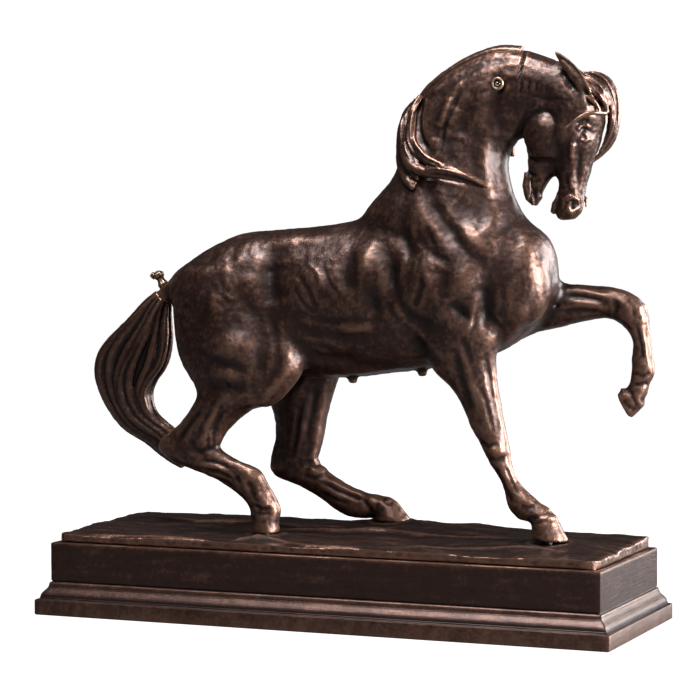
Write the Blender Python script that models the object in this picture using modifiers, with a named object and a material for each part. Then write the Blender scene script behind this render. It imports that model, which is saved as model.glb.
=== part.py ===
"""Bronze statuette of a prancing horse on a moulded plinth, built as the separate castings it is
assembled from: body, head, four legs, tail and hair locks, pinned together with tenon joints, and
bolted through a modelled ground slab to a hollow plinth.

Frame: +X is the way the horse faces, +Y its left side, +Z up, origin at the centre of the plinth's
underside. Lengths are written in millimetres and scaled to metres where a mesh is made.
"""

import math

import bmesh
import bpy
from mathutils import Matrix, Vector

MM = 0.001

# Driving dimensions
PLINTH_LENGTH = 300.0
PLINTH_WIDTH = 110.0
FASCIA_TOP = 7.8
MOULDING_TOP = 16.2
FRIEZE_TOP = 36.0
FRIEZE_INSET = 6.2
TERRACE_INSET = 8.4
TERRACE_EDGE = 40.0
PLINTH_WALL = 3.2
CLEARANCE = 0.3

STUD_RADIUS = 2.0
STUD_BOTTOM = 22.5
WASHER_RADIUS = 4.5
WASHER_THICK = 0.9
NUT_ACROSS = 7.0
NUT_THICK = 3.2
SCREW_RADIUS = 1.5
SCREW_HEAD_RADIUS = 2.8
SCREW_HEAD_THICK = 2.0
PIN_RADIUS = 1.3

# Surface making
RING_SIDES = 20
RINGS_BETWEEN = 3
BLANK_VOXEL = 1.15
HAIR_VOXEL = 1.0
BLANK_TRIANGLES = 7000

# Body chains. A section is (x, z of one edge, x, z of the other edge, half width across, y).
TRUNK = [
    (-101, 165, -98, 158, 5, 0), (-96, 171.5, -94, 149, 12, 0), (-88, 177.3, -86, 138, 19, 0),
    (-74, 185.6, -72, 130, 24.5, 0), (-58, 191.8, -57, 124, 27, 0), (-38, 193.6, -37, 121, 27, 0),
    (-18, 195.2, -17, 119, 26, 0), (0, 197.6, 2, 119.8, 27.5, 0), (16, 200, 22, 122.4, 29, 0),
    (34, 203, 42, 124.8, 29, 0), (52, 205, 60, 129, 28.5, 0), (70, 204, 76, 132.5, 27, 0),
    (86, 200, 90, 141, 23.5, 0), (98.5, 193, 100, 152, 17.5, 0), (104.5, 184, 105.5, 163, 10, 0),
]
NECK = [
    (5, 199, 99, 180, 26, 0), (11.5, 208, 94, 193.5, 24, 0), (20, 215.5, 87, 206, 21, 0),
    (25, 225, 83, 218, 18.5, 0), (26.6, 236, 82, 228, 17, 0), (30, 247, 84.5, 233, 15.5, 0),
    (37.5, 258, 88, 236.5, 14.5, 0), (50, 268.5, 92, 239.5, 13.6, 0), (64, 276, 96, 242, 13, 0),
    (77, 279.6, 99, 243, 12.5, 0), (89, 279.8, 101, 244, 12.2, 0), (97, 277.8, 104, 245, 12, 0),
    (105, 275, 108, 248, 11.5, 0),
]
DOCK = [
    (-88, 177, -90, 160, 9, 0), (-97.5, 170, -97, 156.5, 7, 0), (-105, 163.5, -101, 154.5, 5, 0),
    (-110, 160, -104.5, 152, 4.6, 0),
]
SKULL = [
    (108, 275, 103, 248, 11.5, 0), (118, 269.3, 104, 246, 12.5, 0), (126, 262, 105.5, 243.5, 13, 0),
    (129.6, 253, 106, 241, 13, 0), (130, 245, 106, 236.5, 12.6, 0), (128.6, 237, 106.5, 231.5, 11, 0),
    (126, 229, 107, 226, 9, 0), (123, 222, 107.5, 220.5, 7.6, 0), (120.8, 214.5, 107.2, 213.5, 6.6, 0),
    (120, 208, 105.6, 207.5, 6.8, 0), (119.2, 202.4, 104.8, 201, 6.4, 0), (115.5, 198.4, 106, 197, 4.4, 0),
]
LOWER_JAW = [
    (91.5, 247, 112, 246, 9, 0), (91, 238, 112, 236, 8.4, 0), (91.2, 229.5, 110, 227.5, 7, 0),
    (90.8, 220, 105.5, 219.5, 5.6, 0), (91.4, 212, 100.4, 213, 4.8, 0), (92.8, 206, 99.4, 207.2, 4.2, 0),
    (94.6, 202.6, 98, 203.2, 2.8, 0),
]
NEAR_FORE = [
    (40, 170, 84, 166, 11, -17), (42, 152, 84, 150, 11, -17), (43.5, 138, 82, 138, 11, -15),
    (47.5, 126, 80.4, 126, 9.6, -13.5), (56.5, 117.5, 81, 117.5, 8.4, -12.5),
    (62.8, 108.5, 82.4, 109, 7.2, -12), (68, 97.5, 84.6, 98, 6.4, -12), (73, 88, 86.6, 88.5, 6.2, -12),
    (77.8, 79.5, 88.5, 79.5, 4.9, -11.8), (81.6, 73.5, 90.6, 74, 4, -11.6), (84.4, 66.5, 94.6, 69, 4, -11.5),
    (86, 60, 99, 64.8, 5, -11.5), (90.8, 54.3, 104, 61.6, 4.8, -11.5), (96.5, 53, 108, 59.5, 4.8, -11.6),
]
FAR_FORE = [
    (60, 186, 58, 140, 11, 17), (76, 178, 76, 136.5, 11.5, 17), (91, 171, 89, 142, 10.5, 17),
    (102.4, 168, 101.4, 145, 9.4, 17.6), (112.4, 166.8, 112.4, 147.8, 8.4, 18),
    (122.4, 166, 121.9, 150, 7.4, 18), (131.4, 165.3, 128.4, 150, 6.8, 18),
    (139.4, 162, 133.2, 147.6, 6.8, 18), (145.4, 155, 137, 144.3, 6.2, 18), (147.6, 146, 139, 140, 5, 18),
    (149, 138, 139.4, 136, 4.2, 18), (149.8, 130, 138.6, 129.5, 4.2, 18), (150.3, 124, 138.6, 123, 5, 18),
    (148, 118.5, 137.8, 119.2, 4.4, 18), (146.8, 113, 135.2, 115, 4.8, 18),
]
NEAR_HIND = [
    (-84, 175, -40, 172, 11, -13), (-90.6, 160, -30, 158, 12.5, -15.5), (-89.6, 144, -22, 142, 13, -17.5),
    (-87, 131, -17, 130, 12.8, -18.5), (-82.4, 122.5, -21, 118.5, 11.8, -19.2),
    (-77.2, 115, -33, 106.8, 10.8, -19.5), (-75.6, 110, -45, 103.8, 10, -19.5),
    (-78.4, 104.5, -53.5, 97.8, 9, -19.5), (-83.4, 98, -60, 91.5, 8, -19.5),
    (-90.4, 91, -64, 84.5, 7, -19.5), (-96.8, 84, -66, 80.5, 6.2, -19.5), (-95, 80, -70, 76, 5.5, -19.5),
]
NEAR_HIND_CANNON = [
    (-70, 90, -96, 83.5, 6.4, -19.5), (-63.4, 84, -91, 76.8, 6, -19.5), (-55.4, 79.4, -75, 71.3, 5.3, -19.4),
    (-47.6, 76.4, -64, 67.2, 4.7, -19.2), (-41, 73.2, -56.5, 62.8, 4.9, -19),
    (-37.6, 67.4, -50.2, 58.3, 5.6, -18.8), (-33.8, 61.2, -47.4, 54.5, 5.8, -18.6),
    (-30.8, 55, -46.6, 50, 5.8, -18.5), (-31.4, 49.5, -45.8, 47.5, 6, -18.5),
]
FAR_HIND = [
    (-82, 175, -38, 172, 10, 12), (-84, 160, -28, 158, 12.5, 15), (-76, 143, -20, 142, 13, 18),
    (-66, 130, -15, 128, 12.5, 20.5), (-59, 117, -16.8, 116.5, 11, 22.5), (-55.5, 106, -21.8, 105.5, 9.4, 23.5),
    (-52.5, 96, -24.4, 96, 8.2, 24), (-52.4, 86, -26.4, 86, 7.2, 24.5), (-55, 77, -29, 77, 6.6, 24.8),
    (-55.6, 69.4, -33, 70.5, 6, 25),
]
FAR_HIND_CANNON = [
    (-33, 80, -55.8, 72, 6.2, 25), (-26, 72, -52.8, 66.2, 6, 25), (-17.5, 66.3, -38.5, 61.2, 5.2, 25),
    (-9, 61.8, -27, 55.2, 4.8, 25.2), (-2.5, 59.8, -18, 49.2, 5, 25.4), (4.5, 58.6, -10.5, 46.4, 5.4, 25.7),
    (10.5, 58, -1, 46.2, 5.2, 26),
]
TAIL = [
    (-107, 162, -101, 155, 4.6, 0), (-114.5, 156.5, -101.8, 148, 6, 0), (-124.5, 146.5, -101.8, 138, 7.6, 0),
    (-135, 137, -102.5, 130, 8.4, 0), (-141.6, 128.5, -105, 122.5, 8.6, 0), (-142.4, 119, -109.5, 116, 8.2, 0),
    (-140, 111, -112, 110, 7.8, 0), (-136.4, 103.5, -111.8, 103.5, 7.2, 0), (-130.4, 95, -109.5, 98.3, 6.6, 0),
    (-124, 89.2, -105, 94, 6, 0.5), (-115, 84.2, -99, 89.5, 5, 1), (-107.5, 78, -95, 83, 4, 2),
    (-101, 73.2, -93.5, 78, 3, 3), (-95.5, 70.9, -93, 72.8, 1.6, 3),
]
CORE = [
    (-64, 176, -60, 140, 12, 0), (-42, 185, -40, 129, 18, 0), (-18, 187.5, -18, 127.5, 19.5, 0),
    (4, 189, 4, 128, 21, 0), (24, 191, 24, 131, 22, 0), (40, 194, 44, 137, 20, 0), (44, 200, 66, 150, 17, 0),
    (42, 210, 78, 178, 14, 0), (40, 224, 74, 208, 12, 0), (44, 236, 72, 226, 10, 0),
]

# Masses laid on the chains: (centre, radii, turn in the side plane in degrees)
MASSES = [
    ((26, 0, 199), (23, 13, 14), 40),                 # withers
    ((-86.5, -19.5, 86), (11.5, 5.6, 6.6), 20),       # near hock
    ((-45.5, 25, 75.5), (11.5, 6, 7.5), 38),          # far hock
    ((64, -19, 172), (19, 10.5, 30), -28),            # near shoulder
    ((64, 19, 172), (19, 10.5, 30), -28),             # far shoulder
    ((94, -11, 166), (13, 12, 19), 0),                # near breast
    ((90, 11, 167), (13, 12, 19), 0),                 # far breast
    ((102.5, -6.5, 238.5), (11.2, 4.4, 11.8), 0),     # near cheek
    ((102.5, 6.5, 238.5), (11.2, 4.4, 11.8), 0),      # far cheek
    ((113.6, -4.6, 205), (4.6, 3.2, 5.6), 10),        # near nostril
    ((113.6, 4.6, 205), (4.6, 3.2, 5.6), 10),         # far nostril
]

# Hooves: (centre of the sole, sole radii, lean of the front wall in degrees, height, top scale, sole tilt)
HOOVES = {
    "near_fore": ((107.8, -12, 44.6), (9.4, 7.8), 32, 12.5, 0.66, 4),
    "far_fore": ((135.2, 18, 108), (7.4, 6.4), 12, 9.5, 0.78, 62),
    "near_hind": ((-38.6, -18.5, 42.4), (7.4, 6.8), 2, 13.0, 0.86, 0),
    "far_hind": ((11.8, 26.2, 45.6), (10.4, 7.8), 38, 11.0, 0.6, 0),
}

# Ears: (root, tip, root radius)
EARS = [((124.5, -8.5, 257.5), (109.2, -11, 277), 4.0), ((121, 8.5, 256), (103.5, 12, 270.5), 4.0)]

# Pinned joints. Each has the point and direction of its cut, the size of the block that holds the
# limb, and its tenon and cross pin.
JOINTS = {
    "near_foreleg": dict(at=(66, -13.2, 121.5), to=(0.36, 0, -0.933), reach=92, side=(29, 29), across=17,
                         tenon=4.2, depth=12),
    "far_foreleg": dict(at=(110, 18, 157), to=(1, 0, 0), reach=48, side=(34, 58), across=17,
                        tenon=4.2, depth=12),
    "near_hind_leg": dict(at=(-56, -19.5, 110.3), to=(-0.3, 0, -0.954), reach=75, side=(52, 52), across=16,
                          tenon=4.6, depth=12),
    "far_hind_leg": dict(at=(-37.2, 23.2, 112), to=(0, 0, -1), reach=75, side=(64, 64), across=17,
                         tenon=4.6, depth=12),
    "head": dict(at=(89.6, 0, 262.2), to=(1, 0, 0), reach=52, side=(65, 59.7), across=24,
                 tenon=6.5, depth=15),
    "tail": dict(at=(-106.5, 0, 159.2), to=(-0.62, 0, -0.785), reach=20, side=(14, 14), across=14,
                 tenon=2.2, depth=8),
}
MUZZLE_ROOM = ((94.2, -20, 196.8), (135, 20, 206))
PIN_SPANS = {"near_foreleg": (-22.4, -5.2), "far_foreleg": (9.6, 26.6), "near_hind_leg": (-29.8, -9.6),
             "far_hind_leg": (13, 33.2)}

# Hair locks: points (x, y, z, radius)
CREST = [
    (88.5, 0.4, 278.4, 3.4), (77, 0.5, 278.6, 4), (65, 0.6, 275.4, 4.2), (52, 0.8, 268.8, 4.2),
    (41, 1, 260.4, 4.2), (33.6, 1, 249.6, 4.2), (29.6, 1, 239, 4), (27.8, 0.6, 228, 3.4),
]
FAR_LOCKS = [
    [(84, 5, 276, 4.2), (79, 13, 267, 4.6), (76, 16.5, 254, 4.4), (76, 18, 240, 3.4), (78, 17, 229, 1.6)],
    [(72, 5, 274, 4.6), (67, 14, 264, 5), (64, 18.5, 250, 5), (64, 20, 236, 4), (66, 20.5, 222, 1.8)],
    [(59, 5, 269, 4.8), (54, 15, 258, 5.2), (51, 20, 244, 5.2), (51, 22, 229, 4.4), (53, 23, 213, 1.9)],
    [(47, 5, 261, 4.8), (42, 15, 248, 5.2), (39, 21, 234, 5.2), (39, 24, 219, 4.4), (41, 26, 203, 2)],
    [(37, 5, 250, 4.6), (32.5, 14, 237, 5), (30, 20, 223, 4.8), (29, 24.5, 208, 4), (31, 27, 195, 1.8)],
]
NEAR_LOCKS = [
    [(32, -4, 246, 3), (30.5, -8, 236, 3.6), (31.5, -12, 226, 3.8), (36, -17, 217.5, 3.2),
     (41, -20.5, 212.5, 1.8)],
    [(35, -7, 247, 2.6), (33, -12, 236, 3.2), (36.5, -17.5, 226.5, 3.4), (43, -21.5, 222, 3.2),
     (53, -23.2, 220, 2.8), (65, -23.6, 217.5, 2.3), (78, -22.4, 213.2, 1.3)],
]
FORELOCK = [
    (117, 2, 264.5, 3.2), (123.5, 3, 264.2, 3.6), (128.8, 4, 260, 3.6), (130.8, 5, 252, 3.4),
    (130.4, 5.5, 243.5, 3.2), (128, 5.5, 235.4, 2.8), (124.6, 5, 229, 2.2), (121.8, 4.4, 226, 1.4),
]

NECK_PIN = (81.0, 263.0)
TAIL_PIN_AXIS = (-0.42, 0, 0.907)
BELLY_PLUGS = {"belly_plug_rear": (0.5, 118.6), "belly_plug_front": (37.5, 123.0)}
STUDS = {"near_fore": (107.0, -12.0, 51.0), "near_hind": (-38.6, -18.5, 52.0), "far_hind": (9.0, 26.0, 51.5)}
SCREW_PLACES = {"left_front": (-118, -34), "left_back": (-118, 34), "right_front": (118, -34),
                "right_back": (118, 34)}

BRONZE = dict(base=(0.075, 0.043, 0.034), metallic=0.9, roughness=0.38)
BRONZE_BASE = dict(base=(0.085, 0.050, 0.038), metallic=0.88, roughness=0.42)
BRASS = dict(base=(0.32, 0.22, 0.12), metallic=1.0, roughness=0.35)
STEEL = dict(base=(0.30, 0.29, 0.28), metallic=1.0, roughness=0.4)


def clear_scene():
    for obj in list(bpy.data.objects):
        bpy.data.objects.remove(obj)


def new_collection(name):
    collection = bpy.data.collections.new(name)
    bpy.context.scene.collection.children.link(collection)
    return collection


def new_material(name, base, metallic, roughness):
    material = bpy.data.materials.new(name)
    material.use_nodes = True
    shader = material.node_tree.nodes["Principled BSDF"]
    shader.inputs["Base Color"].default_value = (*base, 1)
    shader.inputs["Metallic"].default_value = metallic
    shader.inputs["Roughness"].default_value = roughness
    return material


def add_object(bm, name, collection, material=None, origin=(0, 0, 0)):
    """Makes an object from a bmesh in millimetres, with its origin at a point in millimetres."""
    origin = Vector(origin)
    bmesh.ops.translate(bm, verts=bm.verts, vec=-origin)
    bmesh.ops.scale(bm, verts=bm.verts, vec=(MM, MM, MM))
    mesh = bpy.data.meshes.new(name)
    bm.to_mesh(mesh)
    bm.free()
    obj = bpy.data.objects.new(name, mesh)
    obj.location = origin * MM
    collection.objects.link(obj)
    if material:
        mesh.materials.append(material)
    return obj


def as_helper(obj):
    obj.hide_render = True
    obj.display_type = "WIRE"
    return obj


def evaluated_mesh(obj):
    bpy.context.view_layer.update()
    graph = bpy.context.evaluated_depsgraph_get()
    return bpy.data.meshes.new_from_object(obj.evaluated_get(graph))


def smooth_between(stations, steps):
    """Catmull-Rom points through the stations, with the given number of steps between each pair."""
    rows = [[float(v) for v in station] for station in stations]
    rows = [rows[0]] + rows + [rows[-1]]
    path = []
    for i in range(1, len(rows) - 2):
        for step in range(steps):
            t = step / steps
            path.append([
                0.5 * (2 * b + (c - a) * t + (2 * a - 5 * b + 4 * c - d) * t * t
                       + (3 * b - a - 3 * c + d) * t ** 3)
                for a, b, c, d in zip(rows[i - 1], rows[i], rows[i + 1], rows[i + 2])
            ])
    path.append(rows[-2])
    return path


def add_rings(bm, rings):
    """Skins a list of vertex rings and closes both ends with a fan about their centres."""
    loops = [[bm.verts.new(p) for p in ring] for ring in rings]
    faces = []
    for low, high in zip(loops, loops[1:]):
        for i in range(len(low)):
            j = (i + 1) % len(low)
            faces.append(bm.faces.new((low[i], low[j], high[j], high[i])))
    for loop in (loops[0], loops[-1]):
        centre = bm.verts.new(sum((v.co for v in loop), Vector()) / len(loop))
        for i in range(len(loop)):
            faces.append(bm.faces.new((loop[i], loop[(i + 1) % len(loop)], centre)))
    bmesh.ops.recalc_face_normals(bm, faces=faces)


def add_chain(bm, sections, sides=RING_SIDES):
    """A limb: elliptical rings, each spanning two edge points in the side plane."""
    rings = []
    for ax, az, bx, bz, wide, y in smooth_between(sections, RINGS_BETWEEN):
        centre = Vector(((ax + bx) / 2, y, (az + bz) / 2))
        edge = Vector(((ax - bx) / 2, 0, (az - bz) / 2))
        rings.append([
            centre + edge * math.cos(a) + Vector((0, wide * math.sin(a), 0))
            for a in (2 * math.pi * k / sides for k in range(sides))
        ])
    add_rings(bm, rings)


def add_lock(bm, points, flat=1.0, sides=12):
    """A tapering lock of hair: round rings along points (x, y, z, radius), flattened across Y by flat."""
    path = smooth_between(points, RINGS_BETWEEN)
    rings = []
    for i, (x, y, z, radius) in enumerate(path):
        before, after = path[max(i - 1, 0)], path[min(i + 1, len(path) - 1)]
        run = (Vector(after[:3]) - Vector(before[:3])).normalized()
        across = run.orthogonal() if abs(run.y) > 0.95 else Vector((0, 1, 0)) - run * run.y
        across.normalize()
        other = across.cross(run)
        rings.append([
            Vector((x, y, z)) + other * radius * math.cos(a) + across * radius * flat * math.sin(a)
            for a in (2 * math.pi * k / sides for k in range(sides))
        ])
    add_rings(bm, rings)


def add_mass(bm, centre, radii, turn):
    matrix = (Matrix.Translation(centre) @ Matrix.Rotation(math.radians(-turn), 4, "Y")
              @ Matrix.Diagonal((*radii, 1)))
    bmesh.ops.create_uvsphere(bm, u_segments=20, v_segments=12, radius=1, matrix=matrix)


def add_cone_between(bm, start, end, start_radius, end_radius, sides=16):
    start, end = Vector(start), Vector(end)
    turn = (end - start).to_track_quat("Z", "Y").to_matrix().to_4x4()
    matrix = Matrix.Translation((start + end) / 2) @ turn
    bmesh.ops.create_cone(bm, cap_ends=True, segments=sides, radius1=start_radius,
                          radius2=end_radius, depth=(end - start).length, matrix=matrix)


def add_hoof(bm, centre, radii, lean, height, top_scale, tilt, sides=20):
    """A hoof: rings narrowing from the sole to the coronet, sheared back so that the front wall leans."""
    turn = Matrix.Rotation(math.radians(tilt), 3, "Y")
    shear = math.tan(math.radians(lean))
    rings = []
    for level in (0, 0.25, 0.6, 1):
        scale = 1 + (top_scale - 1) * level
        rings.append([
            Vector(centre) + turn @ Vector((
                radii[0] * scale * math.cos(a) - shear * height * level * 0.55,
                radii[1] * scale * math.sin(a),
                height * level,
            ))
            for a in (2 * math.pi * k / sides for k in range(sides))
        ])
    add_rings(bm, rings)


def add_ear(bm, root, tip, radius):
    root, tip = Vector(root), Vector(tip)
    stations = [(root.lerp(tip, t), radius * r) for t, r in ((0, 0.9), (0.25, 1), (0.55, 0.82), (0.85, 0.4), (1, 0.12))]
    add_lock(bm, [(*point, r) for point, r in stations], flat=0.6)


def remeshed(bm, name, voxel, smoothing, triangles):
    """Fuses overlapping closed shapes into one skin, softens it and thins it to a triangle count."""
    obj = add_object(bm, name, CUTTERS)
    fuse = obj.modifiers.new("Fuse", "REMESH")
    fuse.mode = "VOXEL"
    fuse.voxel_size = voxel * MM
    soften = obj.modifiers.new("Soften", "SMOOTH")
    soften.iterations = smoothing
    mesh = evaluated_mesh(obj)
    obj.modifiers.clear()
    obj.data = mesh
    thin = obj.modifiers.new("Thin", "DECIMATE")
    thin.ratio = triangles / (2 * len(mesh.polygons))
    obj.data = evaluated_mesh(obj)
    obj.modifiers.clear()
    return as_helper(obj)


def horse_blank():
    """The whole horse as one skin, before it is parted into castings."""
    bm = bmesh.new()
    for chain in (TRUNK, NECK, DOCK, SKULL, LOWER_JAW, NEAR_FORE, FAR_FORE, NEAR_HIND,
                  NEAR_HIND_CANNON, FAR_HIND, FAR_HIND_CANNON):
        add_chain(bm, chain)
    for centre, radii, turn in MASSES:
        add_mass(bm, centre, radii, turn)
    for hoof in HOOVES.values():
        add_hoof(bm, *hoof)
    for root, tip, radius in EARS:
        add_ear(bm, root, tip, radius)
    return remeshed(bm, "horse_blank", BLANK_VOXEL, 5, BLANK_TRIANGLES)


def joint_frame(joint):
    """Matrix whose Z runs from the cut into the limb, with its Y across the horse."""
    to = Vector(joint["to"]).normalized()
    across = Vector((0, 1, 0))
    along = across.cross(to)
    turn = Matrix((along, across, to)).transposed().to_4x4()
    return Matrix.Translation(joint["at"]) @ turn


def joint_block(name, joint, gap):
    """The block of space that holds a limb, from its cut outwards, grown towards the body by the gap."""
    bm = bmesh.new()
    reach = joint["reach"] + gap
    back, front = joint["side"]
    centre = ((front - back) / 2, 0, (joint["reach"] - gap) / 2)
    matrix = (joint_frame(joint) @ Matrix.Translation(centre)
              @ Matrix.Diagonal((back + front, 2 * joint["across"], reach, 1)))
    bmesh.ops.create_cube(bm, size=1, matrix=matrix)
    block = as_helper(add_object(bm, name, CUTTERS))
    if joint is JOINTS["head"]:
        bm = bmesh.new()
        low, high = MUZZLE_ROOM
        size = Vector(high) - Vector(low)
        matrix = Matrix.Translation((Vector(low) + Vector(high)) / 2) @ Matrix.Diagonal((*size, 1))
        bmesh.ops.create_cube(bm, size=1, matrix=matrix)
        boolean(block, as_helper(add_object(bm, f"{name}_muzzle", CUTTERS)), "UNION")
    return block


def peg(name, joint, radius, start, end, collection=None):
    """A round peg along a joint's axis, from start to end measured from the cut."""
    bm = bmesh.new()
    frame = joint_frame(joint)
    add_cone_between(bm, frame @ Vector((0, 0, start)), frame @ Vector((0, 0, end)), radius, radius)
    return as_helper(add_object(bm, name, collection or CUTTERS))


def rod(name, start, end, radius, collection, material=None, sides=14):
    bm = bmesh.new()
    add_cone_between(bm, start, end, radius, radius, sides)
    return add_object(bm, name, collection, material)


def boolean(obj, other, operation):
    modifier = obj.modifiers.new(f"{operation.lower()} {other.name}"[:60], "BOOLEAN")
    modifier.operation = operation
    modifier.object = other
    modifier.solver = "EXACT"
    return modifier


def grown(obj, name, gap):
    """A copy of a skin pushed out by the gap, to cut its neighbours clear of it."""
    copy = bpy.data.objects.new(name, obj.data.copy())
    copy.location = obj.location
    CUTTERS.objects.link(copy)
    push = copy.modifiers.new("Grow", "DISPLACE")
    push.mid_level = 0
    push.strength = gap * MM
    return as_helper(copy)


def copy_as(obj, name, material):
    copy = bpy.data.objects.new(name, obj.data.copy())
    copy.data.materials.clear()
    copy.data.materials.append(material)
    PARTS.objects.link(copy)
    return copy


def pin_point(joint):
    """Where the cross pin passes through the tenon."""
    return joint_frame(joint) @ Vector((0, 0, -0.55 * joint["depth"]))


def make_limbs(blank, terrace_cutter):
    """Cuts each limb from the blank, and gives it a tenon with a cross hole."""
    limbs = {}
    for name, joint in JOINTS.items():
        if name == "tail":
            continue
        limb = copy_as(blank, name, BODY)
        boolean(limb, joint_block(f"{name}_block", joint, 0), "INTERSECT")
        boolean(limb, peg(f"{name}_tenon", joint, joint["tenon"], -joint["depth"], 3), "UNION")
        limbs[name] = limb
    for leg in ("near_foreleg", "near_hind_leg", "far_hind_leg"):
        boolean(limbs[leg], terrace_cutter, "DIFFERENCE")
    return limbs


def make_torso(blank):
    """The body and neck: the blank less its limbs, with sockets, a core cavity and its vent holes."""
    torso = copy_as(blank, "torso", BODY)
    for name, joint in JOINTS.items():
        boolean(torso, joint_block(f"{name}_room", joint, CLEARANCE), "DIFFERENCE")
        socket = peg(f"{name}_socket", joint, joint["tenon"] + CLEARANCE,
                     -joint["depth"] - CLEARANCE, 6)
        boolean(torso, socket, "DIFFERENCE")
    bm = bmesh.new()
    add_chain(bm, CORE, sides=14)
    boolean(torso, as_helper(add_object(bm, "core_cavity", CUTTERS)), "DIFFERENCE")
    return torso


def make_pins(torso, limbs):
    """Cross pins for the four legs, the raised neck pin and the tail pin, with their holes."""
    for leg, (low, high) in PIN_SPANS.items():
        point = pin_point(JOINTS[leg])
        hole = as_helper(rod(f"{leg}_pin_hole", (point.x, low - 12, point.z), (point.x, high + 12, point.z),
                             PIN_RADIUS + CLEARANCE, CUTTERS))
        boolean(torso, hole, "DIFFERENCE")
        boolean(limbs[leg], hole, "DIFFERENCE")
        rod(f"{leg}_pin", (point.x, low, point.z), (point.x, high, point.z), PIN_RADIUS, PARTS, PINS)


def rivet(name, foot, head, shank_radius, head_radius, head_thick, rings):
    """A headed pin from its foot to under its head, with a domed, stepped head."""
    foot, head = Vector(foot), Vector(head)
    out = (head - foot).normalized()
    bm = bmesh.new()
    turn = Matrix.Translation(foot) @ out.to_track_quat("Z", "Y").to_matrix().to_4x4()
    length = (head - foot).length
    profile = [(shank_radius, 0), (shank_radius, length)]
    profile += [(head_radius * r, length + head_thick * h) for r, h in rings]
    add_rings(bm, [
        [turn @ Vector((r * math.cos(a), r * math.sin(a), h))
         for a in (2 * math.pi * k / 18 for k in range(18))]
        for r, h in profile
    ])
    return add_object(bm, name, PARTS, PINS)


def make_head_pin(torso, head):
    x, z = NECK_PIN
    hole = as_helper(rod("head_pin_hole", (x, -30, z), (x, 30, z), 1.9, CUTTERS))
    boolean(torso, hole, "DIFFERENCE")
    boolean(head, hole, "DIFFERENCE")
    seat = as_helper(rod("head_pin_seat", (x, -30, z), (x, -11.9, z), 3.9, CUTTERS, sides=20))
    boolean(torso, seat, "DIFFERENCE")
    rivet("head_pin", (x, 11.4, z), (x, -12.3, z), 1.6, 3.5, 2.6,
          ((1, 0.02), (1, 0.45), (0.86, 0.75), (0.6, 0.95), (0.3, 1)))


def make_tail(terrace, torso):
    bm = bmesh.new()
    add_chain(bm, TAIL)
    blank = remeshed(bm, "tail_blank", HAIR_VOXEL, 3, 800)
    tail = copy_as(blank, "tail", HAIR)
    joint = JOINTS["tail"]
    room = joint_block("tail_side", dict(joint, reach=160, side=(120, 120), across=30), 0)
    boolean(tail, room, "INTERSECT")
    boolean(tail, peg("tail_tenon", joint, joint["tenon"], -joint["depth"], 3), "UNION")
    point = pin_point(joint)
    out = Vector(TAIL_PIN_AXIS)
    hole = as_helper(rod("tail_pin_hole", point - out * 3.3, point + out * 14, 1.1 + CLEARANCE, CUTTERS))
    boolean(tail, hole, "DIFFERENCE")
    boolean(torso, hole, "DIFFERENCE")
    rivet("tail_pin", point - out * 2.8, point + out * 6.6, 1.1, 2.5, 3.6,
          ((0.7, 0.05), (1, 0.3), (1, 0.6), (0.75, 0.88), (0.35, 1)))


def make_hair(body_cutter):
    """Crest, far-side fall, near-side lock and forelock, each cut clear of the body."""
    bm = bmesh.new()
    add_lock(bm, CREST, flat=0.9)
    for lock in FAR_LOCKS:
        add_lock(bm, lock)
    mane = copy_as(remeshed(bm, "mane_blank", HAIR_VOXEL, 2, 1200), "mane", HAIR)
    bm = bmesh.new()
    for lock in NEAR_LOCKS:
        add_lock(bm, lock)
    near = copy_as(remeshed(bm, "near_lock_blank", HAIR_VOXEL, 2, 700), "mane_lock", HAIR)
    bm = bmesh.new()
    add_lock(bm, FORELOCK, flat=1.5)
    fore = copy_as(remeshed(bm, "forelock_blank", HAIR_VOXEL, 2, 500), "forelock", HAIR)
    for hair in (mane, near, fore):
        boolean(hair, body_cutter, "DIFFERENCE")
    boolean(near, grown(bpy.data.objects["mane_blank"], "mane_clear", CLEARANCE + 0.05), "DIFFERENCE")


def moulding_profile():
    """The plinth's outer profile as (inset from the fascia, z), from the bottom up."""
    cove = [(0.5 + 2.3 * math.sin(a), 10.2 + 2.5 * (1 - math.cos(a)))
            for a in (math.radians(15 * k) for k in range(1, 7))]
    round_over = [(FRIEZE_INSET - 0.4 - 2.6 * math.cos(a), 13.3 + 2.5 * math.sin(a))
                  for a in (math.radians(18 * k) for k in range(0, 6))]
    return ([(0, 0), (0, FASCIA_TOP - 0.5), (0.4, FASCIA_TOP), (1.5, FASCIA_TOP + 0.2), (1.5, 9.2), (0.5, 9.4),
             (0.5, 10.2)] + cove + round_over + [(FRIEZE_INSET, MOULDING_TOP), (FRIEZE_INSET, FRIEZE_TOP)])


def add_rectangle_rings(bm, profile):
    """Skins a rectangular frame whose outline follows a profile of (inset, z)."""
    rings = []
    for inset, z in profile:
        x, y = PLINTH_LENGTH / 2 - inset, PLINTH_WIDTH / 2 - inset
        rings.append([bm.verts.new(p) for p in ((-x, -y, z), (x, -y, z), (x, y, z), (-x, y, z))])
    for low, high in zip(rings, rings[1:]):
        for i in range(4):
            j = (i + 1) % 4
            bm.faces.new((low[i], low[j], high[j], high[i]))
    bm.faces.new(reversed(rings[0]))
    bm.faces.new(rings[-1])


def make_plinth():
    bm = bmesh.new()
    add_rectangle_rings(bm, moulding_profile())
    plinth = add_object(bm, "plinth", PARTS, BASE)
    bm = bmesh.new()
    inner = FRIEZE_INSET + PLINTH_WALL
    size = (PLINTH_LENGTH - 2 * inner, PLINTH_WIDTH - 2 * inner, 2 * (FRIEZE_TOP - PLINTH_WALL))
    bmesh.ops.create_cube(bm, size=1, matrix=Matrix.Diagonal((*size, 1)))
    boolean(plinth, as_helper(add_object(bm, "plinth_hollow", CUTTERS)), "DIFFERENCE")
    return plinth


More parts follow.
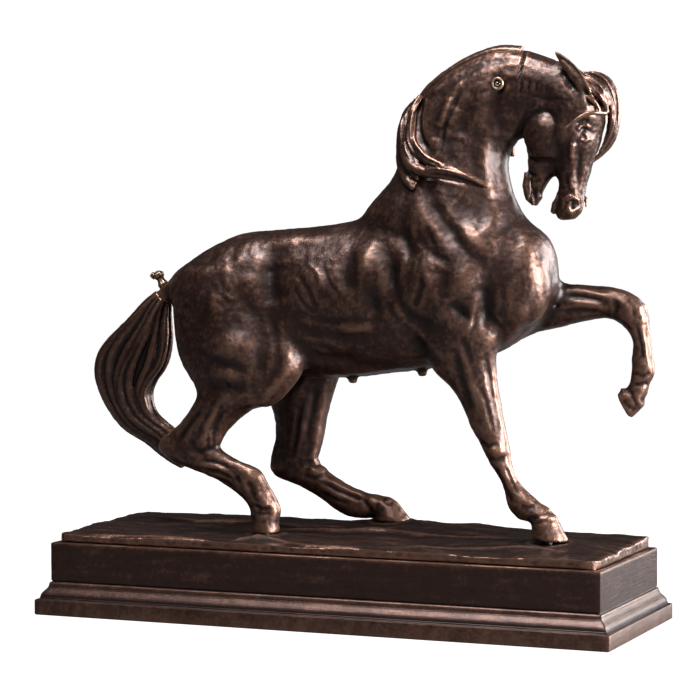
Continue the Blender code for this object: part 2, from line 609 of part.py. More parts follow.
def ground_height(x, y):
    """Height of the modelled ground: a low swell with mounds and hollows round the hooves."""
    z = 41.6 + 0.028 * y
    for cx, cy, rx, ry, rise in (
        (104, -8, 26, 22, 2.4), (8, 24, 48, 20, 3.0), (-38, -20, 24, 14, 0.4), (-95, 26, 34, 18, 1.3),
        (-70, -8, 26, 14, -1.3), (-8, -12, 26, 12, -1.2), (52, 30, 30, 16, 1.4), (60, -24, 24, 14, -0.9),
        (128, 24, 20, 16, -0.8), (-126, -16, 18, 18, 0.5),
    ):
        z += rise * math.exp(-((x - cx) / rx) ** 2 - ((y - cy) / ry) ** 2)
    z += 0.30 * math.sin(0.13 * x + 1.1) * math.cos(0.17 * y - 0.4) + 0.22 * math.sin(0.29 * x - 0.21 * y)
    return z


def make_terrace():
    """The ground slab: a gridded top that falls to a straight lip, with a flat underside."""
    half_x = PLINTH_LENGTH / 2 - TERRACE_INSET
    half_y = PLINTH_WIDTH / 2 - TERRACE_INSET
    bottom = FRIEZE_TOP + CLEARANCE
    bm = bmesh.new()
    bmesh.ops.create_grid(bm, x_segments=32, y_segments=11, size=1,
                          matrix=Matrix.Diagonal((half_x, half_y, 1, 1)))
    for v in bm.verts:
        x, y = v.co.x, v.co.y
        from_edge = min(half_x - abs(x), half_y - abs(y))
        lift = min(1, max(0, from_edge / 9)) ** 0.6
        lip = TERRACE_EDGE + 0.022 * (y + half_y)
        v.co.z = lip + (ground_height(x, y) - lip) * lift
    rim = [e for e in bm.edges if e.is_boundary]
    grown_rim = bmesh.ops.extrude_edge_only(bm, edges=rim)["geom"]
    for v in grown_rim:
        if isinstance(v, bmesh.types.BMVert):
            v.co.z = bottom
    bmesh.ops.contextual_create(bm, geom=[e for e in bm.edges if e.is_boundary])
    bmesh.ops.recalc_face_normals(bm, faces=bm.faces)
    return add_object(bm, "terrace", PARTS, BASE)


def hexagon_nut(name, centre, thick, across, bore):
    bm = bmesh.new()
    outer = across / math.sqrt(3)
    bmesh.ops.create_cone(bm, cap_ends=True, segments=6, radius1=outer, radius2=outer, depth=thick,
                          matrix=Matrix.Translation(centre))
    nut = add_object(bm, name, PARTS, FASTENER)
    cut = rod(f"{name}_bore", Vector(centre) - Vector((0, 0, thick)), Vector(centre) + Vector((0, 0, thick)),
              bore, CUTTERS, sides=20)
    boolean(nut, as_helper(cut), "DIFFERENCE")


def make_studs(plinth, terrace, limbs):
    """A stud from each standing hoof through the ground and plinth, with its washer and nut."""
    legs = {"near_fore": "near_foreleg", "near_hind": "near_hind_leg", "far_hind": "far_hind_leg"}
    for name, (x, y, top) in STUDS.items():
        stud_hole = as_helper(rod(f"{name}_stud_hole", (x, y, STUD_BOTTOM - 5), (x, y, top + CLEARANCE),
                                  STUD_RADIUS + CLEARANCE, CUTTERS))
        for holed in (plinth, terrace, limbs[legs[name]]):
            boolean(holed, stud_hole, "DIFFERENCE")
        rod(f"{name}_stud", (x, y, STUD_BOTTOM), (x, y, top), STUD_RADIUS, PARTS, FASTENER)
        washer_top = FRIEZE_TOP - PLINTH_WALL - CLEARANCE
        washer = rod(f"{name}_washer", (x, y, washer_top - WASHER_THICK), (x, y, washer_top), WASHER_RADIUS,
                     PARTS, FASTENER, sides=20)
        boolean(washer, stud_hole, "DIFFERENCE")
        nut_centre = (x, y, washer_top - WASHER_THICK - CLEARANCE - NUT_THICK / 2)
        hexagon_nut(f"{name}_nut", nut_centre, NUT_THICK, NUT_ACROSS, STUD_RADIUS + CLEARANCE)


def make_terrace_screws(plinth, terrace):
    """Slotted screws that hold the ground slab to the plinth from below."""
    under = FRIEZE_TOP - PLINTH_WALL
    for place, (x, y) in SCREW_PLACES.items():
        hole = as_helper(rod(f"{place}_screw_hole", (x, y, under - 8), (x, y, 39.2), SCREW_RADIUS + CLEARANCE,
                             CUTTERS))
        boolean(plinth, hole, "DIFFERENCE")
        boolean(terrace, hole, "DIFFERENCE")
        bm = bmesh.new()
        head_top = under - CLEARANCE
        levels = [(SCREW_HEAD_RADIUS * 0.8, head_top - SCREW_HEAD_THICK), (SCREW_HEAD_RADIUS, head_top - 1.5),
                  (SCREW_HEAD_RADIUS, head_top), (SCREW_RADIUS, head_top), (SCREW_RADIUS, 38.6)]
        add_rings(bm, [
            [Vector((x + r * math.cos(a), y + r * math.sin(a), z))
             for a in (2 * math.pi * k / 16 for k in range(16))]
            for r, z in levels
        ])
        screw = add_object(bm, f"{place}_screw", PARTS, FASTENER)
        bm = bmesh.new()
        size = (4 * SCREW_HEAD_RADIUS, 0.8, 1.6)
        bmesh.ops.create_cube(bm, size=1, matrix=Matrix.Translation((x, y, head_top - SCREW_HEAD_THICK))
                              @ Matrix.Diagonal((*size, 1)))
        boolean(screw, as_helper(add_object(bm, f"{place}_slot", CUTTERS)), "DIFFERENCE")


def make_belly_plugs(torso):
    """Screw plugs that close the vent holes of the casting core."""
    for name, (x, z) in BELLY_PLUGS.items():
        hole = as_helper(rod(f"{name}_hole", (x, 0, z - 15), (x, 0, z + 18), 2.4 + CLEARANCE, CUTTERS))
        boolean(torso, hole, "DIFFERENCE")
        rivet(name, (x, 0, z + 8), (x, 0, z + 1), 2.4, 2.4, 2.8, ((1, 0.3), (0.95, 0.7), (0.6, 1)))


clear_scene()
PARTS = new_collection("bronze_horse_statue")
CUTTERS = new_collection("cutters")
BODY = new_material("body_bronze", **BRONZE)
HAIR = new_material("hair_bronze", **BRONZE)
BASE = new_material("base_bronze", **BRONZE_BASE)
PINS = new_material("pin_brass", **BRASS)
FASTENER = new_material("fastener_steel", **STEEL)


def main():
    plinth = make_plinth()
    terrace = make_terrace()
    terrace_cutter = grown(terrace, "terrace_clear", CLEARANCE)
    blank = horse_blank()
    limbs = make_limbs(blank, terrace_cutter)
    torso = make_torso(blank)
    make_pins(torso, limbs)
    make_head_pin(torso, limbs["head"])
    make_tail(terrace, torso)
    make_hair(grown(blank, "body_clear", CLEARANCE + 0.05))
    make_belly_plugs(torso)
    make_studs(plinth, terrace, limbs)
    make_terrace_screws(plinth, terrace)


main()
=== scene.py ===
from math import cos, pi, radians, sin

import bpy
import numpy as np
from mathutils import Matrix, Vector, bvhtree, kdtree, noise


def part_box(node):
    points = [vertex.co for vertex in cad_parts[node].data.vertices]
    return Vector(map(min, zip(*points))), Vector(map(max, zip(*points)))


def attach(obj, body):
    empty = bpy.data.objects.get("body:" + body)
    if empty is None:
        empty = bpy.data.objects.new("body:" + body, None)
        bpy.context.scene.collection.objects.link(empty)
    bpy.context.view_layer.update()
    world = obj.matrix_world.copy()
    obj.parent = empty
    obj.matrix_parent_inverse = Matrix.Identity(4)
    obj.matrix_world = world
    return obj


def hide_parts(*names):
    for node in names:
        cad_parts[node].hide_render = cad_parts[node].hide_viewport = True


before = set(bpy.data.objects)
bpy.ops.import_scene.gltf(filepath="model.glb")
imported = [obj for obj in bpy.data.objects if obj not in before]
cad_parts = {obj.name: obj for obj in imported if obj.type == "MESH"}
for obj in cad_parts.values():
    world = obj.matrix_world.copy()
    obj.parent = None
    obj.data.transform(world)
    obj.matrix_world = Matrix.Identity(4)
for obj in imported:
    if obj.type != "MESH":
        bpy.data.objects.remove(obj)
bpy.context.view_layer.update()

bl_info = {
    "name": "Bronze horse statue",
    "version": (1, 0, 0),
    "blender": (4, 5, 0),
    "location": "View3D > Sidebar > Statue",
    "description": "A cabinet bronze of a prancing horse on a moulded plinth",
    "category": "Object",
}

PLINTH_LOW, PLINTH_HIGH = (Vector(corner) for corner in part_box("plinth"))
UNIT = (PLINTH_HIGH.x - PLINTH_LOW.x) / 300
ORIGIN = Vector(((PLINTH_LOW.x + PLINTH_HIGH.x) / 2, (PLINTH_LOW.y + PLINTH_HIGH.y) / 2, PLINTH_LOW.z))
PLINTH_HALF = (150.0, (PLINTH_HIGH.y - PLINTH_LOW.y) / 2 / UNIT)

# Pinned joints: point and direction of the cut, reach, room behind and in front, half width
JOINTS = {
    "near_foreleg": ((66, -13.2, 121.5), (0.36, 0, -0.933), 92, (29, 29), 17),
    "far_foreleg": ((110, 18, 157), (1, 0, 0), 48, (34, 58), 17),
    "near_hind_leg": ((-56, -19.5, 110.3), (-0.3, 0, -0.954), 75, (52, 52), 16),
    "far_hind_leg": ((-37.2, 23.2, 112), (0, 0, -1), 75, (64, 64), 17),
    "head": ((89.6, 0, 262.2), (1, 0, 0), 52, (65, 59.7), 24),
}
MUZZLE_ROOM = ((94.2, -20, 196.8), (135, 20, 206))
LEGS = ("near_foreleg", "far_foreleg", "near_hind_leg", "far_hind_leg")

# Ears: root, tip and the side that they open to
EARS = (((124, -8.5, 256.5), (109, -11, 277.5), -1), ((121, 8.5, 255), (103.5, 12, 271), 1))

# Fullness of the raised hoof at its heel and toe
HOOF_PADS = (
    ((136.6, 18, 116.4, 3.4), (135.6, 18, 111.8, 3.8), (137.8, 18, 107.4, 3.6), (140.4, 18, 105.6, 2.8)),
    ((143.2, 18, 118.2, 4), (141.6, 18, 113.4, 4.6), (140.8, 18, 108.8, 4.2)),
)
# Standing hooves: x, y and the radius of the ground pushed up round each
HOOF_PRINTS = ((107, -12, 10), (-38.6, -18.5, 9), (10, 26, 11))
# Raised folds of the ground: points (x, y)
GROUND_FOLDS = (
    ((-50, -45.5), (-44, -39), (-38, -30), (-30, -32), (-20, -36), (-8, -42), (10, -44.5), (28, -45)),
    ((-130, -44), (-100, -43), (-70, -44.5), (-52, -45)),
    ((40, -38), (60, -30), (84, -28), (104, -24), (122, -30)),
    ((-120, 20), (-90, 8), (-60, 14), (-30, 4), (0, 10)),
    ((-60, -14), (-30, 0), (10, 6), (50, 0), (90, 4)),
)

# Hair locks: points (x, y, z, radius)
CREST = (
    (88.5, 0.4, 278.4, 3.4), (77, 0.5, 278.6, 4), (65, 0.6, 275.4, 4.2), (52, 0.8, 268.8, 4.2),
    (41, 1, 260.4, 4.2), (33.6, 1, 249.6, 4.2), (29.6, 1, 239, 4), (27.8, 0.6, 228, 3.4),
)
FAR_LOCKS = (
    ((84, 5, 276, 4.2), (79, 13, 267, 4.6), (76, 16.5, 254, 4.4), (76, 18, 240, 3.4), (78, 17, 229, 1.6)),
    ((72, 5, 274, 4.6), (67, 14, 264, 5), (64, 18.5, 250, 5), (64, 20, 236, 4), (66, 20.5, 222, 1.8)),
    ((59, 5, 269, 4.8), (54, 15, 258, 5.2), (51, 20, 244, 5.2), (51, 22, 229, 4.4), (53, 23, 213, 1.9)),
    ((47, 5, 261, 4.8), (42, 15, 248, 5.2), (39, 21, 234, 5.2), (39, 24, 219, 4.4), (41, 26, 203, 2)),
    ((37, 5, 250, 4.6), (32.5, 14, 237, 5), (30, 20, 223, 4.8), (29, 24.5, 208, 4), (31, 27, 195, 1.8)),
)
NEAR_TRESSES = (
    ((38.1, -4.0, 258.3, 1.5), (36.0, -8.0, 251.4, 1.83), (36.5, -12.0, 244.0, 2.0),
     (38.2, -15.0, 236.6, 2.0), (42.9, -18.0, 231.7, 1.92), (49.2, -21.0, 227.2, 1.47),
     (57.7, -23.0, 224.0, 0.8)),
    ((36.0, -4.0, 256.4, 1.5), (33.4, -8.0, 250.0, 1.83), (34.4, -12.0, 243.0, 2.0),
     (36.1, -15.0, 236.1, 2.0), (40.9, -18.0, 230.2, 1.92), (47.7, -21.0, 225.8, 1.47),
     (56.3, -23.5, 222.8, 0.8)),
    ((33.9, -4.0, 254.5, 1.58), (31.3, -8.0, 248.5, 1.93), (31.8, -12.0, 241.6, 2.1),
     (34.0, -15.0, 233.7, 2.1), (38.5, -18.5, 227.8, 2.01), (44.8, -21.5, 223.4, 1.54),
     (53.2, -23.5, 221.9, 0.84)),
    ((31.8, -4.0, 251.6, 1.5), (30.3, -8.0, 245.6, 1.83), (30.4, -11.0, 238.7, 2.0),
     (32.6, -14.0, 231.4, 2.0), (35.8, -17.0, 225.5, 1.92), (39.6, -20.0, 220.6, 1.47),
     (43.1, -21.0, 217.2, 0.8)),
    ((30.3, -4.0, 249.7, 1.58), (28.8, -7.0, 241.8, 1.93), (29.1, -9.0, 234.4, 2.1),
     (30.3, -12.0, 228.0, 2.1), (33.0, -15.0, 222.1, 2.01), (37.3, -18.0, 217.7, 1.54),
     (41.5, -19.5, 215.3, 0.84)),
    ((27.8, -3.0, 243.9, 1.42), (27.5, -5.0, 236.0, 1.8), (28.7, -8.0, 229.6, 1.9),
     (29.5, -10.0, 224.2, 1.9), (31.7, -13.0, 219.3, 1.5), (35.5, -16.0, 215.8, 0.76)),
    ((39.1, -20.0, 221.1, 1.42), (47.4, -23.0, 221.4, 1.74), (55.7, -24.5, 221.8, 1.9),
     (63.5, -25.0, 220.6, 1.9), (69.6, -25.0, 218.4, 1.82), (74.9, -24.5, 216.0, 1.39),
     (79.6, -23.5, 213.4, 0.76)),
    ((55.1, -23.0, 223.8, 0.98), (61.8, -24.5, 222.2, 1.3), (67.9, -24.5, 219.8, 1.3),
     (73.8, -24.0, 217.4, 1.12), (79.1, -23.5, 214.5, 0.52)),
)
FORE_TRESSES = (
    ((113.7, 0.0, 264.7, 1.95), (121.1, 2.0, 267.1, 2.27), (127.9, 4.0, 265.1, 2.6),
     (132.1, 5.0, 259.4, 2.6), (133.7, 5.5, 251.8, 2.6), (133.8, 5.5, 243.2, 2.58),
     (131.6, 5.5, 235.6, 2.24), (127.3, 5.0, 229.9, 1.71), (121.7, 4.0, 225.2, 1.04)),
    ((117.7, -3.0, 262.6, 1.42), (124.1, -3.0, 263.4, 1.7), (129.3, -2.0, 260.5, 1.9),
     (132.4, -1.0, 255.3, 1.9), (133.4, 1.0, 249.2, 1.9), (133.1, 2.0, 242.6, 1.73),
     (130.9, 3.0, 236.5, 1.31), (126.9, 3.0, 230.8, 0.76)),
    ((116.3, -5.0, 259.7, 1.58), (122.6, -6.0, 260.5, 2.1), (128.0, -6.0, 258.0, 2.1),
     (131.2, -5.0, 253.8, 1.81), (132.6, -3.0, 248.6, 0.84)),
    ((114.0, -4.0, 262.6, 1.58), (120.8, -5.0, 264.4, 2.1), (126.7, -5.0, 262.3, 2.1),
     (130.9, -4.0, 258.1, 1.81), (132.8, -2.0, 252.0, 0.84)),
    ((116.0, -7.0, 255.8, 1.35), (121.7, -8.0, 256.6, 1.8), (126.7, -8.0, 254.2, 1.73),
     (129.8, -7.0, 249.9, 0.72)),
    ((132.1, -3.0, 248.2, 0.86), (128.5, -7.5, 248.7, 1.15), (123.5, -10.5, 247.8, 1.15),
     (119.1, -12.0, 244.9, 0.99), (114.0, -13.2, 240.7, 0.46)),
)
LIPS = (
    ((92.6, -2.4, 221.0, 2.03), (92.1, -2.4, 214.3, 2.7), (93.6, -2.2, 208.5, 2.59),
     (95.5, -2.0, 205.1, 1.08)),
    ((97.0, -2.0, 214.2, 1.12), (97.4, -1.5, 209.0, 1.5), (96.2, -1.0, 205.6, 0.6)),
    ((109.9, -3.0, 209.4, 2.17), (107.4, -3.0, 204.6, 2.9), (104.8, -2.5, 201.3, 1.16)),
    ((111.6, -6.5, 203.6, 0.83), (112.4, -7.6, 207.4, 1.1), (115.9, -7.8, 209.1, 1.1),
     (119.0, -6.4, 207.4, 0.95), (119.2, -5.5, 204.1, 0.44)),
)
# Tail sections: x and z of one edge, x and z of the other, half width, y
TAIL = (
    (-107, 162, -101, 155, 4.6, 0), (-114.5, 156.5, -101.8, 148, 6, 0), (-124.5, 146.5, -101.8, 138, 7.6, 0),
    (-135, 137, -102.5, 130, 8.4, 0), (-141.6, 128.5, -105, 122.5, 8.6, 0),
    (-142.4, 119, -109.5, 116, 8.2, 0),
    (-140, 111, -112, 110, 7.8, 0), (-136.4, 103.5, -111.8, 103.5, 7.2, 0),
    (-130.4, 95, -109.5, 98.3, 6.6, 0),
    (-124, 89.2, -105, 94, 6, 0.5), (-115, 84.2, -99, 89.5, 5, 1), (-107.5, 78, -95, 83, 4, 2),
    (-101, 73.2, -93.5, 78, 3, 3), (-95.5, 70.9, -93, 72.8, 1.6, 3),
)

# Tool strokes on the side of the figure: side, width, height (a groove is below 0), points (x, z)
STROKES = (
    # neck
    ("both", 2.3, 0.56, ((36.6, 260.9), (47.4, 262.4), (50.0, 265.8), (52.7, 269.7), (57.8, 273.5),
                         (63.0, 275.3), (68.2, 277.1), (78.5, 278.7), (85.0, 278.5))),
    ("both", 2.5, -0.62, ((40.6, 256.7), (50.4, 258.3), (54.8, 262.1), (58.5, 266.4), (63.5, 269.7),
                          (70.1, 272.4), (80.2, 274.6), (87.4, 274.4))),
    ("both", 3.5, 0.56, ((59.2, 253.2), (56.9, 248.4), (54.6, 243.6))),
    ("both", 2.9, -0.74, ((66.9, 253.5), (66.6, 250.7), (63.7, 244.9), (62.4, 237.3))),
    ("both", 2.3, -0.56, ((52.0, 243.7), (50.4, 236.4))),
    ("both", 3.6, 0.74, ((74.1, 236.3), (73.2, 226.7), (75.5, 214.7), (78.6, 205.1), (81.2, 197.9),
                         (84.1, 190.8))),
    ("both", 3.2, -0.62, ((69.5, 236.3), (69.0, 224.3), (71.6, 212.3), (74.9, 201.7), (79.5, 190.8))),
    ("both", 2.6, -0.5, ((78.4, 236.3), (77.3, 224.3), (79.7, 212.3), (83.6, 200.3))),
    ("both", 1.4, -0.31, ((81.6, 217.1), (84.3, 202.7), (88.1, 189.3))),
    ("both", 1.4, -0.31, ((83.3, 216.3), (86.7, 202.7), (90.4, 192.2))),
    ("both", 1.7, -0.62, ((95.5, 256.5), (103.8, 255.9), (111.7, 254.7))),
    ("both", 2.0, 0.43, ((97.7, 253.2), (103.4, 252.6), (108.4, 252.0))),
    ("both", 4.3, -0.56, ((57.5, 238.8), (56.5, 229.1), (59.2, 224.3))),
    ("both", 3.8, 0.5, ((81.4, 267.2), (80.8, 255.3), (81.2, 243.4))),
    ("both", 2.9, -0.43, ((86.3, 268.5), (86.2, 257.6), (86.9, 245.7))),
    ("both", 2.3, -0.37, ((77.9, 257.2), (76.4, 248.2), (75.6, 240.1))),
    ("near", 2.0, -1.9, ((40.2, 257.7), (39.0, 253.3), (39.0, 247.4), (39.9, 241.5), (42.8, 235.6),
                         (47.6, 230.7))),
    ("near", 1.6, -1.4, ((44.7, 218.6), (53.5, 218.9), (61.3, 217.9), (67.1, 216.0))),
    ("near", 0.7, -1.1, ((90.2, 281.6), (91.9, 276.3), (91.5, 271.3), (90.5, 266.5))),
    ("near", 0.7, -0.5, ((92.6, 263.6), (91.1, 258.0))),
    ("near", 0.7, -0.5, ((96.5, 264.5), (95.1, 258.8))),
    ("near", 0.7, -0.5, ((100.0, 263.5), (99.1, 258.8))),
    ("near", 1.2, -0.8, ((61.3, 259.5), (57.8, 251.8), (54.1, 242.2), (52.8, 231.6))),
    ("near", 1.8, 0.7, ((57.1, 258.1), (53.7, 249.9), (50.6, 240.3))),
    # head
    ("both", 1.4, -1.17, ((100.9, 252.2), (94.3, 249.0), (90.4, 242.0), (87.4, 236.0), (91.1, 229.1),
                          (97.4, 226.6), (104.9, 226.5), (111.4, 227.9))),
    ("both", 1.7, 0.81, ((117.9, 235.3), (117.5, 231.1), (116.6, 226.4))),
    ("both", 1.1, 0.9, ((120.0, 239.5), (121.9, 241.9), (124.5, 242.3), (126.6, 240.5))),
    ("both", 0.9, 0.63, ((120.7, 236.7), (123.2, 235.3), (126.0, 236.8))),
    ("both", 1.1, -0.72, ((119.7, 242.8), (122.9, 245.1), (126.1, 244.7))),
    ("both", 1.1, 0.72, ((113.3, 206.5), (114.6, 208.4), (117.2, 209.3), (119.0, 207.4))),
    ("both", 1.7, 0.63, ((122.6, 224.1), (120.8, 217.0), (119.9, 209.8))),
    ("both", 1.2, -0.72, ((92.3, 221.0), (95.5, 219.5), (98.1, 219.0))),
    ("both", 1.1, -0.54, ((96.5, 216.6), (99.9, 217.1))),
    ("both", 1.1, -0.54, ((106.7, 221.8), (104.5, 217.1))),
    ("both", 1.2, -0.45, ((115.3, 221.7), (114.5, 215.0), (115.9, 210.3))),
    ("both", 1.4, -1.26, ((111.7, 268.6), (114.7, 264.2), (118.8, 259.4))),
    ("both", 0.9, -0.45, ((99.1, 207.5), (103.9, 200.8))),
    ("both", 1.1, 0.9, ((101.6, 253.1), (94.8, 249.4), (90.9, 242.4), (88.0, 236.5), (91.2, 230.1))),
    ("both", 1.2, 0.8, ((117.9, 235.3), (117.0, 231.1), (116.1, 225.9))),
    ("both", 1.6, -0.8, ((120.7, 231.1), (119.2, 224.0), (117.7, 216.0))),
    ("both", 0.9, -0.6, ((97.4, 213.7), (94.7, 209.0), (93.7, 204.6))),
    ("both", 0.8, 0.5, ((107.1, 212.3), (108.0, 207.5), (105.8, 201.7))),
    ("both", 0.9, -0.5, ((113.3, 220.8), (113.5, 214.1))),
    ("both", 0.8, 0.5, ((115.2, 218.8), (115.5, 212.2))),
    ("both", 1.3, -0.8, ((122.6, 260.3), (124.6, 256.5), (126.4, 251.8))),
    ("both", 1.0, 0.6, ((124.8, 262.1), (126.2, 257.6), (128.1, 251.9))),
    # shoulder
    ("both", 3.3, -1.08, ((36.8, 197.0), (36.8, 192.1), (37.6, 188.3), (40.0, 183.5), (42.9, 177.8))),
    ("both", 3.0, 0.58, ((41.7, 197.0), (42.9, 188.3), (46.5, 181.6))),
    ("both", 3.8, -1.22, ((48.3, 209.0), (53.8, 201.7), (58.2, 195.5), (67.2, 186.0), (74.7, 179.9),
                          (81.3, 175.1))),
    ("both", 4.5, 0.65, ((54.9, 205.1), (63.2, 194.1), (72.1, 186.0), (79.7, 180.8))),
    ("both", 2.1, -0.65, ((51.1, 182.1), (56.9, 179.8), (62.4, 177.9))),
    ("both", 3.3, -1.3, ((35.1, 180.6), (33.8, 174.8), (33.6, 169.1), (36.2, 159.5), (41.0, 152.3),
                         (48.0, 148.5), (56.7, 145.8))),
    ("both", 1.8, -0.65, ((47.9, 171.6), (49.1, 166.8), (46.4, 160.5), (44.2, 155.7))),
    ("both", 4.5, -1.01, ((77.2, 168.5), (78.2, 157.5), (79.1, 145.5))),
    ("both", 3.3, -0.86, ((61.7, 159.8), (67.1, 154.1), (72.3, 149.3))),
    ("both", 3.3, -0.58, ((60.5, 175.0), (59.5, 166.9), (60.2, 159.7))),
    ("both", 3.3, 0.72, ((97.7, 160.0), (95.8, 152.8), (89.4, 145.2), (83.4, 138.7), (79.5, 135.8))),
    ("both", 2.7, -0.79, ((101.1, 159.0), (99.0, 151.3), (91.1, 143.0), (84.0, 136.5), (80.5, 132.8))),
    ("both", 2.2, -0.65, ((95.4, 193.1), (100.1, 186.0), (103.4, 177.9))),
    ("both", 2.0, -0.43, ((91.1, 190.8), (93.7, 184.6))),
    ("both", 3.6, -1.01, ((40.2, 142.5), (44.0, 137.6), (48.0, 132.8), (54.8, 126.7))),
    ("both", 2.7, 0.65, ((43.5, 145.0), (49.0, 139.2), (53.4, 134.5), (58.6, 129.8))),
    ("both", 2.0, -0.58, ((67.8, 143.1), (69.2, 135.8), (70.5, 128.6))),
    ("both", 2.4, -0.58, ((86.0, 169.4), (87.4, 159.9), (84.6, 150.2))),
    ("both", 3.8, -0.65, ((61.9, 207.5), (69.5, 201.7), (78.1, 192.2))),
    ("both", 1.8, -0.43, ((48.1, 195.5), (51.8, 189.3), (53.9, 184.5))),
    ("both", 2.1, -0.58, ((29.1, 159.4), (32.4, 153.6), (36.9, 147.8))),
    ("both", 6.0, -1.6, ((71.9, 151.3), (78.5, 149.4), (83.5, 152.2))),
    ("both", 4.0, -1.6, ((79.6, 269.7), (80.3, 255.3), (80.8, 238.7))),
    # barrel
    ("both", 2.6, -0.4, ((-78.0, 168.0), (-73.0, 174.0), (-66.8, 180.4), (-60.6, 186.4), (-53.5, 189.4),
                         (-47.6, 191.9), (-25.9, 193.4), (-2.3, 194.5))),
    ("both", 7.2, -0.79, ((-36.5, 184.1), (-34.4, 173.3), (-32.3, 162.5), (-29.0, 153.7), (-24.2, 146.9))),
    ("both", 4.2, 0.44, ((-43.2, 183.0), (-40.9, 170.8), (-38.4, 158.5))),
    ("both", 3.5, -0.53, ((-24.9, 153.3), (-17.3, 146.0), (-6.9, 142.7), (0.8, 139.8), (8.6, 138.0),
                          (17.0, 141.6), (22.6, 144.2), (29.0, 142.3))),
    ("both", 3.2, -0.53, ((9.3, 183.3), (11.1, 176.1), (11.4, 168.8), (12.3, 161.6))),
    ("both", 3.8, -0.4, ((19.0, 167.5), (22.3, 159.3), (23.0, 150.6))),
    ("both", 2.1, -0.4, ((-17.0, 152.9), (-8.9, 150.0), (-0.7, 149.2), (10.1, 148.9), (20.8, 149.1),
                         (31.0, 148.7))),
    ("both", 3.2, 0.35, ((2.2, 145.3), (9.6, 144.5), (17.6, 145.1), (23.5, 146.7))),
    ("both", 2.9, -0.4, ((-17.6, 144.0), (-7.5, 138.7), (-0.4, 133.8), (4.6, 132.9), (12.7, 133.6),
                         (24.0, 137.3))),
    ("both", 2.9, -0.35, ((-18.9, 133.0), (-6.8, 130.1), (3.6, 129.3))),
    ("both", 2.2, 0.26, ((-5.3, 121.8), (7.9, 122.5), (25.0, 126.5))),
    ("both", 4.8, -0.4, ((9.2, 189.1), (2.9, 195.4), (0.3, 197.0))),
    ("both", 3.8, -0.4, ((22.8, 196.9), (25.1, 188.2), (27.9, 179.6), (27.7, 172.9))),
    ("both", 9.0, -1.1, ((-35.0, 177.2), (-33.0, 166.0), (-29.4, 156.2))),
    ("both", 1.8, -0.48, ((-17.6, 171.0), (-10.5, 162.8), (-7.1, 154.0))),
    ("both", 1.1, -0.32, ((-4.2, 174.5), (-0.1, 166.8), (5.1, 161.0))),
    ("both", 1.0, -0.32, ((-19.2, 163.6), (-13.5, 156.9), (-7.2, 152.0))),
    ("both", 0.9, 0.32, ((-14.2, 177.3), (-6.6, 171.6), (-2.7, 163.8))),
    # rump
    ("both", 2.6, -0.56, ((-74.3, 138.2), (-69.5, 133.4), (-62.3, 130.1), (-55.0, 127.8), (-46.9, 125.0),
                          (-41.7, 121.6))),
    ("both", 2.7, -0.62, ((-67.0, 117.0), (-58.2, 114.8), (-47.2, 115.1), (-42.0, 116.7))),
    ("both", 3.2, 0.78, ((-30.3, 149.7), (-27.1, 143.8), (-25.6, 136.5), (-24.2, 129.2), (-23.9, 125.2),
                         (-27.3, 120.3), (-32.5, 114.2), (-37.3, 108.1), (-41.9, 105.4))),
    ("both", 2.6, -0.62, ((-34.0, 149.7), (-30.9, 143.8), (-28.8, 136.5), (-27.9, 129.2), (-28.9, 124.2),
                          (-33.0, 118.3), (-38.3, 112.7))),
    ("both", 2.1, 0.39, ((-36.4, 153.6), (-35.0, 147.7), (-33.4, 141.4))),
    ("both", 3.2, -0.5, ((-64.1, 168.1), (-65.8, 158.2), (-68.0, 149.3), (-72.0, 143.3))),
    ("both", 3.8, -0.56, ((-53.5, 177.1), (-49.0, 165.8), (-45.4, 156.0), (-41.5, 146.2))),
    ("both", 3.5, 0.39, ((-59.2, 177.0), (-55.1, 165.7), (-52.0, 155.9))),
    ("both", 1.9, -0.67, ((-80.3, 156.5), (-78.0, 153.6))),
    ("both", 1.6, -0.28, ((-64.4, 165.7), (-58.2, 160.3), (-52.5, 155.4))),
    ("both", 1.6, -0.28, ((-61.3, 158.3), (-55.5, 153.9))),
    ("both", 1.6, -0.28, ((-60.0, 166.7), (-54.1, 161.3))),
    ("both", 3.2, -0.5, ((-40.8, 136.4), (-38.6, 129.1), (-37.7, 121.7))),
    ("both", 2.9, -0.45, ((-82.8, 152.9), (-81.8, 145.5), (-78.3, 139.1))),
    ("both", 3.2, -0.45, ((-55.4, 187.9), (-54.6, 182.0), (-57.4, 177.1))),
    # nhind
    ("near", 1.8, -1.12, ((-69.1, 104.4), (-75.3, 98.2), (-80.0, 91.9), (-83.7, 87.8))),
    ("near", 1.7, 0.8, ((-58.5, 107.8), (-63.0, 101.1), (-67.4, 94.4), (-67.3, 91.3), (-71.2, 87.7))),
    ("near", 1.4, -0.72, ((-58.1, 102.7), (-62.1, 96.5), (-64.1, 91.3))),
    ("near", 1.0, -0.64, ((-66.6, 92.9), (-67.8, 83.1))),
    ("near", 1.0, -0.56, ((-64.2, 92.9), (-65.6, 83.6))),
    ("near", 1.1, -0.64, ((-71.8, 82.6), (-67.9, 83.6), (-64.8, 84.1))),
    ("near", 1.1, -0.72, ((-71.7, 78.1), (-63.8, 77.3), (-55.9, 74.5))),
    ("near", 1.1, -0.64, ((-69.6, 73.0), (-61.2, 72.4), (-54.8, 69.6))),
    ("near", 1.0, -0.48, ((-65.0, 69.0), (-60.9, 68.2), (-56.4, 66.4))),
    ("near", 1.0, 0.48, ((-72.0, 75.5), (-63.2, 74.8), (-55.8, 72.0))),
    ("near", 1.1, -0.88, ((-52.6, 70.7), (-50.4, 67.7))),
    ("near", 1.4, -0.8, ((-46.1, 68.9), (-44.2, 64.5), (-41.9, 60.2))),
    ("near", 1.4, 0.64, ((-40.5, 63.2), (-37.9, 59.3), (-35.3, 55.4))),
    ("near", 1.0, -0.72, ((-42.6, 56.6), (-38.2, 54.8), (-33.5, 55.3))),
